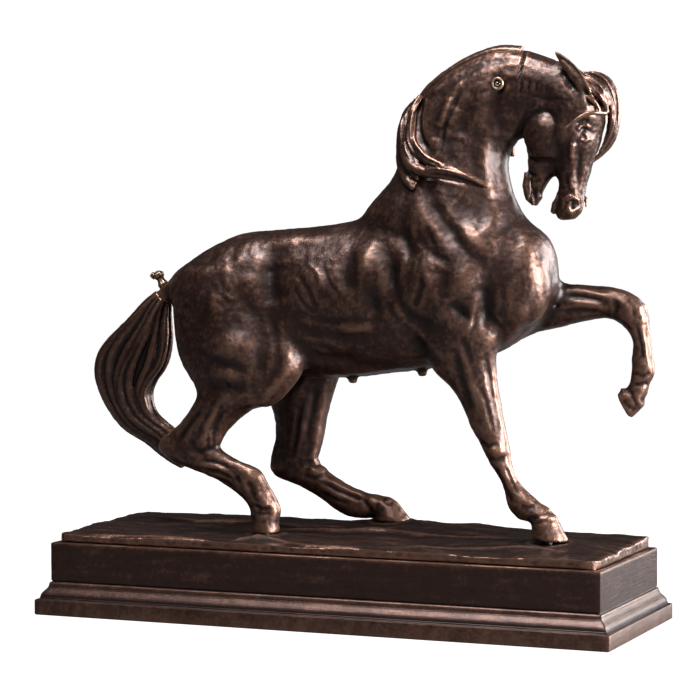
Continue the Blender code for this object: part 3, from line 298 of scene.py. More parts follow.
    ("near", 1.0, -0.48, ((-41.5, 53.2), (-38.1, 52.4), (-33.5, 52.9))),
    ("near", 1.6, -0.56, ((-76.5, 89.1), (-74.8, 84.0), (-70.3, 80.6))),
    # nfore
    ("near", 1.4, -0.63, ((77.6, 135.8), (78.0, 126.1), (79.5, 114.0), (81.9, 102.0), (83.5, 92.5))),
    ("near", 1.2, 0.49, ((79.5, 135.8), (79.7, 126.0), (81.1, 113.9), (83.5, 101.9), (85.2, 93.3))),
    ("near", 1.4, -0.56, ((74.1, 118.9), (77.1, 111.7), (79.0, 102.1), (81.4, 93.9))),
    ("near", 2.0, -0.63, ((63.8, 135.8), (65.3, 123.6), (67.4, 113.9), (70.0, 105.7))),
    ("near", 1.9, 0.49, ((67.7, 135.8), (69.7, 123.7), (72.0, 112.6), (74.2, 105.9))),
    ("near", 1.5, -0.63, ((72.3, 91.1), (78.0, 89.5), (83.6, 90.6))),
    ("near", 1.5, -0.56, ((76.1, 83.5), (81.9, 82.9), (86.8, 84.2))),
    ("near", 1.8, 0.56, ((79.1, 88.1), (82.9, 86.3), (85.7, 87.2))),
    ("near", 1.2, -0.63, ((80.5, 80.3), (84.5, 70.6), (88.9, 63.7))),
    ("near", 1.1, -0.49, ((85.1, 81.9), (88.7, 73.3), (93.1, 65.3))),
    ("near", 1.4, -0.63, ((93.8, 61.6), (97.7, 60.3), (101.3, 61.2))),
    ("near", 1.2, -0.63, ((99.2, 55.5), (104.0, 56.8), (108.1, 57.8))),
    ("near", 1.0, -0.35, ((100.9, 53.3), (106.7, 54.6), (111.2, 55.0))),
    # ffore
    ("far", 1.9, 0.68, ((106.9, 164.5), (114.3, 164.1), (124.6, 161.8), (130.5, 161.3))),
    ("far", 1.4, -0.68, ((108.0, 161.1), (116.4, 160.7), (127.3, 158.9))),
    ("far", 1.6, 0.52, ((110.2, 157.8), (117.5, 157.4), (127.3, 156.0))),
    ("far", 1.4, -0.6, ((105.3, 153.4), (115.0, 154.4), (124.5, 153.5))),
    ("far", 1.3, -0.68, ((132.2, 159.4), (133.2, 156.1), (132.0, 152.7))),
    ("far", 1.4, -0.6, ((138.0, 160.4), (141.3, 155.7), (141.6, 150.9))),
    ("far", 1.8, 0.68, ((142.8, 158.4), (145.9, 152.3), (146.2, 147.5))),
    ("far", 1.1, -0.6, ((142.9, 147.5), (144.6, 137.9), (145.1, 129.7))),
    ("far", 1.1, -0.45, ((147.0, 145.1), (148.0, 137.9), (148.6, 130.7))),
    ("far", 1.3, -0.68, ((140.5, 124.7), (145.3, 123.0), (149.6, 124.9))),
    ("far", 1.1, -0.68, ((141.2, 118.5), (145.1, 119.1), (148.0, 119.5))),
    ("far", 1.2, -0.52, ((135.7, 111.2), (139.6, 107.4), (142.7, 106.4))),
    ("far", 1.1, -0.45, ((139.2, 116.1), (141.5, 111.4), (143.0, 107.4))),
    # fhind
    ("far", 1.9, 0.68, ((-20.7, 117.0), (-23.6, 106.6), (-25.9, 96.2), (-28.0, 85.9), (-30.2, 76.5),
                        (-29.7, 69.5))),
    ("far", 1.6, -0.75, ((-25.5, 114.4), (-28.1, 104.1), (-30.8, 93.7), (-33.0, 83.3))),
    ("far", 1.4, -0.68, ((-32.7, 106.6), (-36.2, 96.2), (-37.9, 85.8), (-40.5, 78.0))),
    ("far", 1.3, -0.68, ((-33.6, 74.5), (-28.8, 72.5), (-25.4, 73.9))),
    ("far", 1.2, -0.6, ((-34.9, 68.4), (-29.0, 66.5), (-23.8, 68.5))),
    ("far", 1.2, -0.68, ((-24.7, 64.6), (-17.2, 60.8), (-9.7, 58.0), (-2.6, 56.2))),
    ("far", 1.1, 0.45, ((-22.9, 66.6), (-15.4, 62.8), (-2.0, 58.1))),
    ("far", 1.1, -0.45, ((-27.0, 60.4), (-19.4, 56.6), (-9.4, 54.5))),
    ("far", 1.3, -0.68, ((-2.1, 56.2), (1.5, 52.4), (2.1, 49.2))),
    ("far", 1.2, -0.68, ((7.2, 57.0), (10.8, 55.2), (13.5, 55.9))),
)
# Swellings and hollows: side, centre (x, z), half sizes, turn in degrees, height
SWELLINGS = (
    ("both", (52.2, 166.8), 12, 16, 10, 3.4),
    ("both", (68.5, 168.0), 8, 11, -20, 2.6),
    ("both", (88.8, 156.0), 8, 13, -8, 3.0),
    ("both", (95.9, 183.7), 10, 11, 0, 2.0),
    ("both", (80.0, 157.5), 4, 11, 0, -2.2),
    ("both", (67.1, 154.1), 5, 5, 0, -1.8),
    ("both", (56.0, 188.4), 9, 9, -40, 1.2),
    ("both", (-10.1, 166.2), 15, 15, 0, 3.0),
    ("both", (17.7, 176.6), 6, 8, 0, 2.2),
    ("both", (22.3, 158.3), 8, 8, 0, -2.4),
    ("both", (12.4, 145.5), 10, 3.5, -3, 1.35),
    ("both", (-51.2, 134.8), 14, 9, -12, 3.2),
    ("both", (-55.1, 122.3), 10, 4, -5, 1.35),
    ("both", (-61.8, 158.3), 12, 15, 0, 1.9),
    ("both", (-35.7, 134.0), 5, 12, 0, -1.6),
    ("both", (-7.4, 139.2), 12, 3, -10, 0.9),
    ("both", (31.4, 171.4), 4, 12, 0, -2.0),
    ("both", (-49.0, 165.8), 6, 14, 10, 1.05),
    ("both", (124.0, 240.5), 4.2, 4.6, 0, -1.7),
    ("both", (123.8, 238.6), 1.9, 1.9, 0, 1.3),
    ("both", (117.0, 204.6), 1.5, 2.3, -20, -2.3),
    ("both", (107.5, 205.1), 2.0, 2.0, 0, -0.4),
    ("near", (-55.6, 108.9), 7, 6, 30, 0.8),
    ("near", (-68.3, 87.2), 5, 5, 0, 0.7),
    ("near", (-45.7, 71.4), 4, 5, 0, 0.7),
    ("near", (68.0, 96.8), 5, 9, -15, 0.7),
    ("near", (81.1, 88.2), 4.5, 4, 0, 0.8),
    ("near", (96.4, 64.0), 4, 4, 0, 0.6),
    ("far", (142.0, 157.1), 5, 6, 0, 0.8),
    ("far", (147.5, 128.3), 3.5, 3.5, 0, 0.6),
    ("far", (-27.5, 70.5), 5, 6, 0, 0.7),
    ("far", (2.2, 56.3), 4, 4, 0, 0.6),
    ("both", (104.3, 240.2), 9.5, 10.5, 0, 2.3),
    ("both", (123.5, 240.0), 3.6, 4.4, 0, -0.9),
    ("both", (99.5, 217.1), 3, 6, 0, 0.5),
    ("both", (115.9, 214.1), 3, 8, 0, 0.6),
    ("both", (-33.5, 170.8), 6, 15, 4, -1.7),
    ("both", (112.3, 239.2), 4.5, 9, 0, 1.6),
    ("both", (108.1, 222.8), 3.5, 8, 0, 0.9),
    ("both", (-31.0, 188.0), 10, 5, 5, 0.8),
    ("both", (7.4, 171.2), 3.5, 9, 0, -0.9),
    ("both", (3.3, 128.3), 16, 4.5, -4, -1.6),
    ("both", (-21.6, 188.0), 14, 4, 2, 1.0),
    ("both", (25.5, 190.6), 8, 7, -30, 1.2),
    ("both", (63.1, 195.5), 8, 10, -40, -1.2),
    ("both", (45.1, 200.3), 6, 12, 20, 1.0),
)


def deselect():
    if bpy.context.object and bpy.context.object.mode != "OBJECT":
        bpy.ops.object.mode_set(mode="OBJECT")
    bpy.ops.object.select_all(action="DESELECT")


def make_active(obj):
    deselect()
    obj.select_set(True)
    bpy.context.view_layer.objects.active = obj


def place(x, y, z):
    """A point given in the statue's own millimetres, as a place in the frame."""
    return ORIGIN + Vector((x, y, z)) * UNIT


def copy_of(node, name):
    """A merged copy of a CAD node's mesh."""
    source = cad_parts[node]
    mesh = source.data.copy()
    mesh.transform(source.matrix_world)
    mesh.materials.clear()
    obj = bpy.data.objects.new(name, mesh)
    bpy.context.scene.collection.objects.link(obj)
    make_active(obj)
    bpy.ops.object.mode_set(mode="EDIT")
    bpy.ops.mesh.select_all(action="SELECT")
    bpy.ops.mesh.remove_doubles(threshold=1e-6)
    bpy.ops.object.mode_set(mode="OBJECT")
    return obj


def join(objs, name):
    deselect()
    for obj in objs:
        obj.select_set(True)
    bpy.context.view_layer.objects.active = objs[0]
    bpy.ops.object.join()
    obj = bpy.context.object
    obj.name = obj.data.name = name
    return obj


def apply_modifier(obj, kind, **settings):
    make_active(obj)
    modifier = obj.modifiers.new(kind.lower(), kind)
    for key, value in settings.items():
        setattr(modifier, key, value)
    bpy.ops.object.modifier_apply(modifier=modifier.name)


def voxel_remesh(obj, size):
    apply_modifier(obj, "REMESH", mode="VOXEL", voxel_size=size * UNIT, adaptivity=0)


def keep_largest(obj):
    """Leaves the biggest closed surface of a mesh, which is the outer one."""
    name = obj.name
    make_active(obj)
    bpy.ops.object.mode_set(mode="EDIT")
    bpy.ops.mesh.select_all(action="SELECT")
    bpy.ops.mesh.separate(type="LOOSE")
    bpy.ops.object.mode_set(mode="OBJECT")
    parts = sorted(bpy.context.selected_objects, key=lambda part: -len(part.data.vertices))
    for part in parts[1:]:
        bpy.data.objects.remove(part)
    parts[0].name = parts[0].data.name = name
    return parts[0]


def points_of(obj):
    """Vertex places in the statue's millimetres."""
    flat = np.empty(len(obj.data.vertices) * 3)
    obj.data.vertices.foreach_get("co", flat)
    return (flat.reshape(-1, 3) - np.array(ORIGIN)) / UNIT


def set_points(obj, points):
    obj.data.vertices.foreach_set("co", (points * UNIT + np.array(ORIGIN)).ravel())
    obj.data.update()


def normals_of(obj):
    flat = np.empty(len(obj.data.vertices) * 3)
    obj.data.vertices.foreach_get("normal", flat)
    return flat.reshape(-1, 3)


def edges_of(obj):
    flat = np.empty(len(obj.data.edges) * 2, dtype=np.int32)
    obj.data.edges.foreach_get("vertices", flat)
    return flat.reshape(-1, 2)


def relaxed(points, edges, factor):
    """Each vertex moved towards the middle of its neighbours."""
    a, b = edges[:, 0], edges[:, 1]
    count = np.bincount(a, minlength=len(points)) + np.bincount(b, minlength=len(points))
    mean = np.stack([np.bincount(a, points[b, k], len(points)) + np.bincount(b, points[a, k], len(points))
                     for k in range(3)], 1) / np.maximum(count, 1)[:, None]
    return points + factor * (mean - points)


def smooth_out(obj, rounds):
    """Takes the facets out of a mesh and keeps its bulk."""
    points, edges = points_of(obj), edges_of(obj)
    for _ in range(rounds):
        points = relaxed(points, edges, 0.6)
        points = relaxed(points, edges, -0.62)
    set_points(obj, points)


def inflate(obj, amount):
    set_points(obj, points_of(obj) + normals_of(obj) * amount)


def step(low, high, value):
    t = np.clip((value - low) / (high - low), 0, 1)
    return t * t * (3 - 2 * t)


def noise_field(points, size, seed):
    offset = Vector((seed * 17.3, seed * 5.1, seed * 9.7))
    return np.array([noise.noise(Vector(p) / size + offset) for p in points])


def side_mask(side, points):
    if side == "near":
        return points[:, 1] < 0
    if side == "far":
        return points[:, 1] > 0
    return np.ones(len(points), bool)


def line_distance(spots, line):
    """Distance to a line of points, and how far along it, 0 to 1."""
    line = np.array(line, float)
    lengths = np.linalg.norm(np.diff(line, axis=0), axis=1)
    total = max(lengths.sum(), 1e-6)
    best = np.full(len(spots), 1e9)
    along = np.zeros(len(spots))
    done = 0.0
    for start, end, length in zip(line[:-1], line[1:], lengths):
        if length < 1e-6:
            continue
        way = (end - start) / length
        t = np.clip((spots - start) @ way, 0, length)
        gap = np.linalg.norm(spots - start - t[:, None] * way, axis=1)
        nearer = gap < best
        best[nearer] = gap[nearer]
        along[nearer] = ((done + t) / total)[nearer]
        done += length
    return best, along


def sculpt(obj, roughness, swellings=True):
    """Works the strokes and swellings into a surface, then the hand of the modeller."""
    points, normals = points_of(obj), normals_of(obj)
    facing = 0.2 + 0.8 * step(0.05, 0.5, np.abs(normals[:, 1]))
    rise = np.zeros(len(points))
    flat = points[:, [0, 2]]
    for side, width, height, line in STROKES:
        low, high = np.min(line, 0) - 3 * width, np.max(line, 0) + 3 * width
        chosen = np.flatnonzero(side_mask(side, points) & (flat > low).all(1) & (flat < high).all(1))
        if not len(chosen):
            continue
        gap, along = line_distance(flat[chosen], line)
        ends = 0.25 + 0.75 * step(0, 0.2, along) * step(0, 0.2, 1 - along)
        rise[chosen] += height * ends * np.exp(-(gap / width) ** 2) * facing[chosen]
    for side, centre, half_x, half_z, turn, height in SWELLINGS if swellings else ():
        offset = flat - np.array(centre)
        c, s = cos(radians(turn)), sin(radians(turn))
        reach = ((offset[:, 0] * c + offset[:, 1] * s) / half_x) ** 2
        reach += ((offset[:, 1] * c - offset[:, 0] * s) / half_z) ** 2
        rise += np.where(side_mask(side, points), height * np.exp(-1.3 * reach) * facing, 0)
    rise += roughness * (0.30 * noise_field(points, 9.0, 1) + 0.16 * noise_field(points, 4.0, 2)
                         + 0.11 * noise_field(points, 1.9, 3))
    set_points(obj, points + normals * rise[:, None])
    points, edges = points_of(obj), edges_of(obj)
    set_points(obj, relaxed(points, edges, 0.35))


def write_relief(obj, fine_size=0.22, broad_size=1.5, rounds=(6, 70)):
    """Stores how far each point stands above its near and its wider surroundings."""
    points, edges, normals = points_of(obj), edges_of(obj), normals_of(obj)
    around = points
    stored = []
    done = 0
    for count, size in zip(rounds, (fine_size, broad_size)):
        for _ in range(count - done):
            around = relaxed(around, edges, 0.9)
        done = count
        stored.append(np.tanh(((points - around) * normals).sum(1) / size))
    for name, values in zip(("crease", "swell"), stored):
        layer = obj.data.attributes.new(name, "FLOAT", "POINT")
        layer.data.foreach_set("value", values * 0.5 + 0.5)


def write_painted_shade(obj, reach=48.0, directions=24):
    """Stores painted shade: how open each point is, 1 in the open, 0 deep between limbs; the patina goes
    darker where it is low.
    """
    points, normals, edges = points_of(obj), normals_of(obj), edges_of(obj)
    tree = bvhtree.BVHTree.FromPolygons([Vector(p) for p in points], [p.vertices for p in obj.data.polygons])
    k = np.arange(directions) + 0.5
    up = 1 - 2 * k / directions
    turn = pi * (1 + 5 ** 0.5) * k
    ways = np.column_stack([np.cos(turn) * np.sqrt(1 - up * up), np.sin(turn) * np.sqrt(1 - up * up), up])
    rays = [Vector(way) for way in ways]
    lean = normals @ ways.T
    open_sky = np.zeros(len(points))
    for index, (point, normal) in enumerate(zip(points, normals)):
        start = Vector(point + normal * 0.5)
        seen = total = 0
        for ray, weight in zip(rays, lean[index]):
            if weight > 0.15:
                total += weight
                if tree.ray_cast(start, ray, reach)[0] is None:
                    seen += weight
        open_sky[index] = seen / max(total, 1e-6)
    column = np.repeat(open_sky[:, None], 3, 1)
    for _ in range(4):
        column = relaxed(column, edges, 0.8)
    layer = obj.data.attributes.new("shade", "FLOAT", "POINT")
    layer.data.foreach_set("value", column[:, 0])


def ease(obj, low, high, rounds):
    """Softens the joins between masses inside a box of the figure."""
    points, edges = points_of(obj), edges_of(obj)
    low, high = np.array(low, float), np.array(high, float)
    share = (step(low - 6, low + 6, points) * step(-high - 6, -high + 6, -points)).prod(1)[:, None]
    for _ in range(rounds):
        points = points + share * (relaxed(points, edges, 0.6) - points)
    set_points(obj, points)


def carry_relief_and_shade(obj, source):
    """Takes the stored relief and the painted shade from the uncut surface."""
    tree = kdtree.KDTree(len(source.data.vertices))
    for index, vertex in enumerate(source.data.vertices):
        tree.insert(vertex.co, index)
    tree.balance()
    nearest = np.array([tree.find(vertex.co)[1] for vertex in obj.data.vertices])
    for name in ("crease", "swell", "shade"):
        values = np.empty(len(source.data.vertices), np.float32)
        source.data.attributes[name].data.foreach_get("value", values)
        if name in obj.data.attributes:
            obj.data.attributes.remove(obj.data.attributes[name])
        layer = obj.data.attributes.new(name, "FLOAT", "POINT")
        layer.data.foreach_set("value", values[nearest])


def add_block(name, middle, size, turn=None):
    deselect()
    bpy.ops.mesh.primitive_cube_add(size=1)
    block = bpy.context.object
    block.name = name
    matrix = Matrix.Translation(middle) @ (turn or Matrix()) @ Matrix.Diagonal((*size, 1))
    block.data.transform(matrix)
    return block


def joint_block(name, gap):
    """The block of space that holds a limb or the head, grown towards the body by the gap."""
    at, to, reach, (back, front), across = JOINTS[name]
    z = Vector(to).normalized()
    y = Vector((0, 1, 0))
    x = y.cross(z).normalized()
    turn = Matrix((x, y, z)).transposed().to_4x4()
    middle = Vector(at) + x * ((front - back) / 2) + z * ((reach - gap) / 2)
    block = add_block(name + "_block", place(*middle),
                      [v * UNIT for v in (back + front, 2 * across, reach + gap)], turn)
    if name == "head":
        low, high = Vector(MUZZLE_ROOM[0]), Vector(MUZZLE_ROOM[1])
        room = add_block("muzzle_block", place(*((low + high) / 2)), (high - low) * UNIT)
        boolean(block, room, "UNION")
    return block


def boolean(obj, cutter, operation):
    before = len(obj.data.polygons)
    apply_modifier(obj, "BOOLEAN", operation=operation, object=cutter,
                   solver="MANIFOLD" if before > 1000 else "EXACT")
    bpy.data.objects.remove(cutter)
    if not obj.data.polygons:
        raise RuntimeError(f"{obj.name} was lost in a boolean cut")


def duplicate(obj, name):
    new = bpy.data.objects.new(name, obj.data.copy())
    new.data.name = name
    bpy.context.scene.collection.objects.link(new)
    return new


def add_strands(name, paths):
    """Round tapering strands: each path is a list of (x, y, z, radius)."""
    curve = bpy.data.curves.new(name, "CURVE")
    curve.dimensions = "3D"
    curve.bevel_depth = UNIT
    curve.bevel_resolution = 2
    curve.use_fill_caps = True
    curve.resolution_u = 1
    for path in paths:
        spline = curve.splines.new("POLY")
        spline.points.add(len(path) - 1)
        for point, (x, y, z, radius) in zip(spline.points, path):
            point.co = (*place(x, y, z), 1)
            point.radius = radius
    obj = bpy.data.objects.new(name, curve)
    bpy.context.scene.collection.objects.link(obj)
    make_active(obj)
    bpy.ops.object.convert(target="MESH")
    return bpy.context.object


def resampled(line, count):
    """A smooth line through the given points, by Catmull-Rom."""
    line = np.array(line, float)
    line = np.vstack([2 * line[0] - line[1], line, 2 * line[-1] - line[-2]])
    out = []
    for t in np.linspace(0, len(line) - 3 - 1e-6, count):
        k, u = int(t), t - int(t)
        a, b, c, d = line[k:k + 4]
        out.append(0.5 * (2 * b + (c - a) * u + (2 * a - 5 * b + 4 * c - d) * u * u
                          + (3 * b - a - 3 * c + d) * u ** 3))
    return np.array(out)


def twisted_lock(line, count, twist, spread=0.62, thickness=0.5, phase=0.0):
    """The strands of one lock, winding loosely round its middle line."""
    middle = resampled(line, 30)
    way = np.gradient(middle[:, :3], axis=0)
    way /= np.linalg.norm(way, axis=1)[:, None]
    side = np.cross(way, (0.3, 0.9, 0.2))
    side /= np.linalg.norm(side, axis=1)[:, None]
    up = np.cross(way, side)
    strands = []
    for k in range(count):
        t = np.linspace(0, 1, len(middle))
        angle = phase + 2 * pi * k / count + twist * t + 0.25 * np.sin(5 * t + k)
        reach = middle[:, 3] * spread * (1 - 0.25 * t)
        turned = side * np.cos(angle)[:, None] + up * np.sin(angle)[:, None]
        points = middle[:, :3] + turned * reach[:, None]
        radius = middle[:, 3] * thickness * (1 - 0.35 * t) * (0.9 + 0.2 * (k % 3) / 2)
        strands.append(np.column_stack([points, np.maximum(radius, 0.45)]))
    return strands


def ear_strands(root, tip, side):
    """An ear as a back wall and two rims with a hollow between them."""
    root, tip = np.array(root, float), np.array(tip, float)
    axis = tip - root
    across = np.array((axis[2], 0, -axis[0]))
    across /= np.linalg.norm(across)
    strands = []
    for offset, outward, thick in ((-0.9, 1.2, 1.0), (0.9, 1.2, 1.0), (-0.4, -0.6, 1.35), (0.4, -0.6, 1.35),
                                   (0, -0.9, 1.4)):
        line = []
        for t in np.linspace(0, 1, 14):
            wide = 3.1 * (sin(pi * (0.22 + 0.78 * t)) ** 0.8 if t < 1 else 0)
            spot = root + axis * t + across * (offset * wide) + np.array((0, side * outward * (1 - t), 0))
            spot += np.array((2.2, 0, 1.0)) * sin(pi * t) * 0.5
            line.append((*spot, max(thick * (1 - 0.62 * t), 0.5)))
        strands.append(line)
    return strands


def tail_strands():
    """Locks that run down the tail over its near, far and outer faces."""
    sections = resampled(TAIL, 44)
    t = np.linspace(0, 1, len(sections))
    strands = []
    for face in (-1, 1):
        for k in range(8):
            share = (k + 0.5) / 8 + 0.055 * np.sin(7 * t + 1.9 * k) * (1 - 0.4 * t)
            share = np.clip(share, 0.04, 0.96)
            x = sections[:, 0] + (sections[:, 2] - sections[:, 0]) * share
            z = sections[:, 1] + (sections[:, 3] - sections[:, 1]) * share
            bulge = np.sqrt(np.maximum(1 - (2 * share - 1) ** 2, 0))
            y = sections[:, 5] + face * sections[:, 4] * bulge * 0.86
            wide = np.hypot(sections[:, 2] - sections[:, 0], sections[:, 3] - sections[:, 1])
            radius = np.clip(wide / 8 * (0.62 + 0.14 * ((k * 5) % 3)), 0.7, 2.6)
            strands.append(np.column_stack([x, y, z, radius]))
    return strands


def finish_piece(obj, material, slot, *nodes, angle=60):
    obj.data.materials.clear()
    obj.data.materials.append(material)
    make_active(obj)
    bpy.ops.object.shade_smooth_by_angle(angle=radians(angle))
    obj.matrix_world = Matrix()
    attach(obj, "root")
    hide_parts(*nodes)


# Shader groups

def new_group(name, inputs, outputs):
    group = bpy.data.node_groups.new(name, "ShaderNodeTree")
    for title, kind, value in inputs:
        socket = group.interface.new_socket(name=title, in_out="INPUT", socket_type=kind)
        socket.default_value = value
    for title, kind in outputs:
        group.interface.new_socket(name=title, in_out="OUTPUT", socket_type=kind)
    nodes = group.nodes
    return group, nodes.new("NodeGroupInput"), nodes.new("NodeGroupOutput")


def link(tree, source, target):
    tree.links.new(source, target)


def maths(tree, operation, a, b=None, clamp=False):
    node = tree.nodes.new("ShaderNodeMath")
    node.operation = operation
    node.use_clamp = clamp
    for socket, value in zip(node.inputs, (a, b)):
        if value is None:
            continue
        if isinstance(value, (int, float)):
            socket.default_value = value
        else:
            link(tree, value, socket)
    return node.outputs[0]


def noise_node(tree, coordinates, size, detail=4, roughness=0.6):
    node = tree.nodes.new("ShaderNodeTexNoise")
    node.inputs["Scale"].default_value = 1 / (size * UNIT)
    node.inputs["Detail"].default_value = detail
    node.inputs["Roughness"].default_value = roughness
    link(tree, coordinates, node.inputs["Vector"])
    return node.outputs["Fac"]


def spread_out(tree, value, low, high):
    node = tree.nodes.new("ShaderNodeMapRange")
    node.inputs["From Min"].default_value = low
    node.inputs["From Max"].default_value = high
    link(tree, value, node.inputs["Value"])
    return node.outputs["Result"]


def mix_colour(tree, share, a, b):
    node = tree.nodes.new("ShaderNodeMix")
    node.data_type = "RGBA"
    for key, value in ((0, share), (6, a), (7, b)):
        if isinstance(value, (tuple, float, int)):
            node.inputs[key].default_value = value
        else:
            link(tree, value, node.inputs[key])
    return node.outputs[2]


def patina_and_shade_group():
    """Brown patina: black in the hollows, rubbed through to warm metal on the high points; painted shade
    darkens both where the stored shade is low.
    """
    group, inside, outside = new_group(
        "patina_and_shade",
        [("Vector", "NodeSocketVector", (0, 0, 0)), ("Crease", "NodeSocketFloat", 0.5),
         ("Swell", "NodeSocketFloat", 0.5), ("Recess", "NodeSocketColor", (0.004, 0.003, 0.002, 1)),
         ("Body", "NodeSocketColor", (0.04, 0.02, 0.014, 1)),
         ("Rubbed", "NodeSocketColor", (0.2, 0.1, 0.06, 1)), ("Wear", "NodeSocketFloat", 0.5),
         ("Shade", "NodeSocketFloat", 1.0)],
        [("Color", "NodeSocketColor"), ("Roughness", "NodeSocketFloat")])
    blotch = noise_node(group, inside.outputs["Vector"], 16, 5, 0.62)
    speck = noise_node(group, inside.outputs["Vector"], 1.6, 6, 0.7)
    height = maths(group, "MULTIPLY", inside.outputs["Crease"], 0.52)
    height = maths(group, "ADD", height, maths(group, "MULTIPLY", inside.outputs["Swell"], 0.34))
    blotch_rise = maths(group, "MULTIPLY", maths(group, "SUBTRACT", blotch, 0.5), 0.30)
    height = maths(group, "ADD", height, blotch_rise)
    height = maths(group, "ADD", height, maths(group, "MULTIPLY", maths(group, "SUBTRACT", speck, 0.5), 0.36))
    # Painted shade: the stored shade darkens the body and holds back the rubbed metal where points are closed
    # in
    shade = spread_out(group, inside.outputs["Shade"], 0.30, 0.95)
    dark = maths(group, "MULTIPLY", spread_out(group, height, 0.14, 0.47), shade)
    bright = maths(group, "MULTIPLY", spread_out(group, height, 0.46, 0.74), shade)
    bright = maths(group, "MULTIPLY", bright, inside.outputs["Wear"], clamp=True)
    colour = mix_colour(group, dark, inside.outputs["Recess"], inside.outputs["Body"])
    colour = mix_colour(group, bright, colour, inside.outputs["Rubbed"])
    link(group, colour, outside.inputs["Color"])
    rough = maths(group, "SUBTRACT", 0.50, maths(group, "MULTIPLY", dark, 0.14))
    rough = maths(group, "SUBTRACT", rough, maths(group, "MULTIPLY", bright, 0.06))
    rough = maths(group, "ADD", rough, maths(group, "MULTIPLY", maths(group, "SUBTRACT", speck, 0.5), 0.25))
    link(group, rough, outside.inputs["Roughness"])
    return group


def cast_skin_group():
    """Sand-cast skin: soft dimples, fine pits and chasing scratches."""
    group, inside, outside = new_group(
        "cast_skin", [("Vector", "NodeSocketVector", (0, 0, 0)), ("Pitting", "NodeSocketFloat", 0.5)],
        [("Height", "NodeSocketFloat")])
    dimples = noise_node(group, inside.outputs["Vector"], 2.6, 3, 0.55)
    grain = noise_node(group, inside.outputs["Vector"], 0.7, 4, 0.65)
    cells = group.nodes.new("ShaderNodeTexVoronoi")
    cells.inputs["Scale"].default_value = 1 / (1.9 * UNIT)
    link(group, inside.outputs["Vector"], cells.inputs["Vector"])
    pits = spread_out(group, cells.outputs["Distance"], 0.0, 0.22)
    height = maths(group, "ADD", maths(group, "MULTIPLY", dimples, 0.6),
                   maths(group, "MULTIPLY", grain, 0.28))
    pits = maths(group, "MULTIPLY", pits, inside.outputs["Pitting"])
    link(group, maths(group, "ADD", height, maths(group, "MULTIPLY", pits, 0.3)), outside.inputs["Height"])
    return group


def brushed_group():
    """Fine lines left by a file along the length of the plinth."""
    group, inside, outside = new_group(
        "brushed", [("Vector", "NodeSocketVector", (0, 0, 0))], [("Height", "NodeSocketFloat")])
    stretch = group.nodes.new("ShaderNodeMapping")
    stretch.inputs["Scale"].default_value = (0.03, 0.03, 1)
    link(group, inside.outputs["Vector"], stretch.inputs["Vector"])
    lines = noise_node(group, stretch.outputs["Vector"], 0.45, 3, 0.6)
    link(group, lines, outside.inputs["Height"])
    return group


def group_node(tree, name, values):
    node = tree.nodes.new("ShaderNodeGroup")
    node.node_tree = bpy.data.node_groups[name]
    for key, value in values.items():
        if hasattr(value, "is_output"):
            link(tree, value, node.inputs[key])
        else:
            node.inputs[key].default_value = value
    return node


def bronze(name, body, rubbed, wear, bump, metallic=0.75, coat=0.25, brushed=0.0, relief_and_shade=True, recess=None):
    material = bpy.data.materials.new(name)
    material.use_nodes = True
    tree = material.node_tree
    shader = tree.nodes["Principled BSDF"]
    place_node = tree.nodes.new("ShaderNodeTexCoord")
    vector = place_node.outputs["Object"]
    values = {"Vector": vector, "Recess": recess or (0.006, 0.004, 0.0035, 1), "Body": body,
              "Rubbed": rubbed, "Wear": wear}
    # Crease and swell set the patina and wear; shade is painted shade that darkens closed-in places
    if relief_and_shade:
        for title in ("Crease", "Swell", "Shade"):
            layer = tree.nodes.new("ShaderNodeAttribute")
            layer.attribute_name = title.lower()
            values[title] = layer.outputs["Fac"]
    patina_and_shade = group_node(tree, "patina_and_shade", values)
    link(tree, patina_and_shade.outputs["Color"], shader.inputs["Base Color"])
    link(tree, patina_and_shade.outputs["Roughness"], shader.inputs["Roughness"])
    shader.inputs["Metallic"].default_value = metallic
    shader.inputs["Coat Weight"].default_value = coat
    shader.inputs["Coat Roughness"].default_value = 0.28
    height = group_node(tree, "cast_skin", {"Vector": vector, "Pitting": 0.6}).outputs["Height"]
    if brushed:
        lines = group_node(tree, "brushed", {"Vector": vector}).outputs["Height"]
        height = maths(tree, "ADD", height, maths(tree, "MULTIPLY", lines, brushed))
    bump_node = tree.nodes.new("ShaderNodeBump")
    bump_node.inputs["Strength"].default_value = bump
    bump_node.inputs["Distance"].default_value = 0.6 * UNIT
    link(tree, height, bump_node.inputs["Height"])
    link(tree, bump_node.outputs["Normal"], shader.inputs["Normal"])
    return material


def material_of(context, name):
    if name in bpy.data.materials:
        return bpy.data.materials[name]
    if "patina_and_shade" not in bpy.data.node_groups:
        patina_and_shade_group()
        cast_skin_group()
        brushed_group()
    colours = context.scene.statue_colours
    body, rubbed = (*colours.body, 1), (*colours.rubbed, 1)
    made = {
        "figure_bronze": lambda: bronze(name, body, rubbed, 0.9, 0.5),
        "hair_patina": lambda: bronze(name, body, rubbed, 0.75, 0.25),
        "ground_bronze": lambda: bronze(name, body, rubbed, 0.7, 0.7, coat=0.3),
        "plinth_bronze": lambda: bronze(name, body, rubbed, 0.8, 0.3, coat=0.15, brushed=0.9),
        "rivet_bronze": lambda: bronze(name, body, (0.42, 0.29, 0.2, 1), 0.9, 0.2),
        "fixing_steel": lambda: bronze(name, (0.14, 0.135, 0.13, 1), (0.4, 0.39, 0.38, 1), 0.8, 0.2,
                                       metallic=1.0, coat=0.0, relief_and_shade=False, recess=(0.03, 0.02, 0.015, 1)),
    }
    return made[name]()


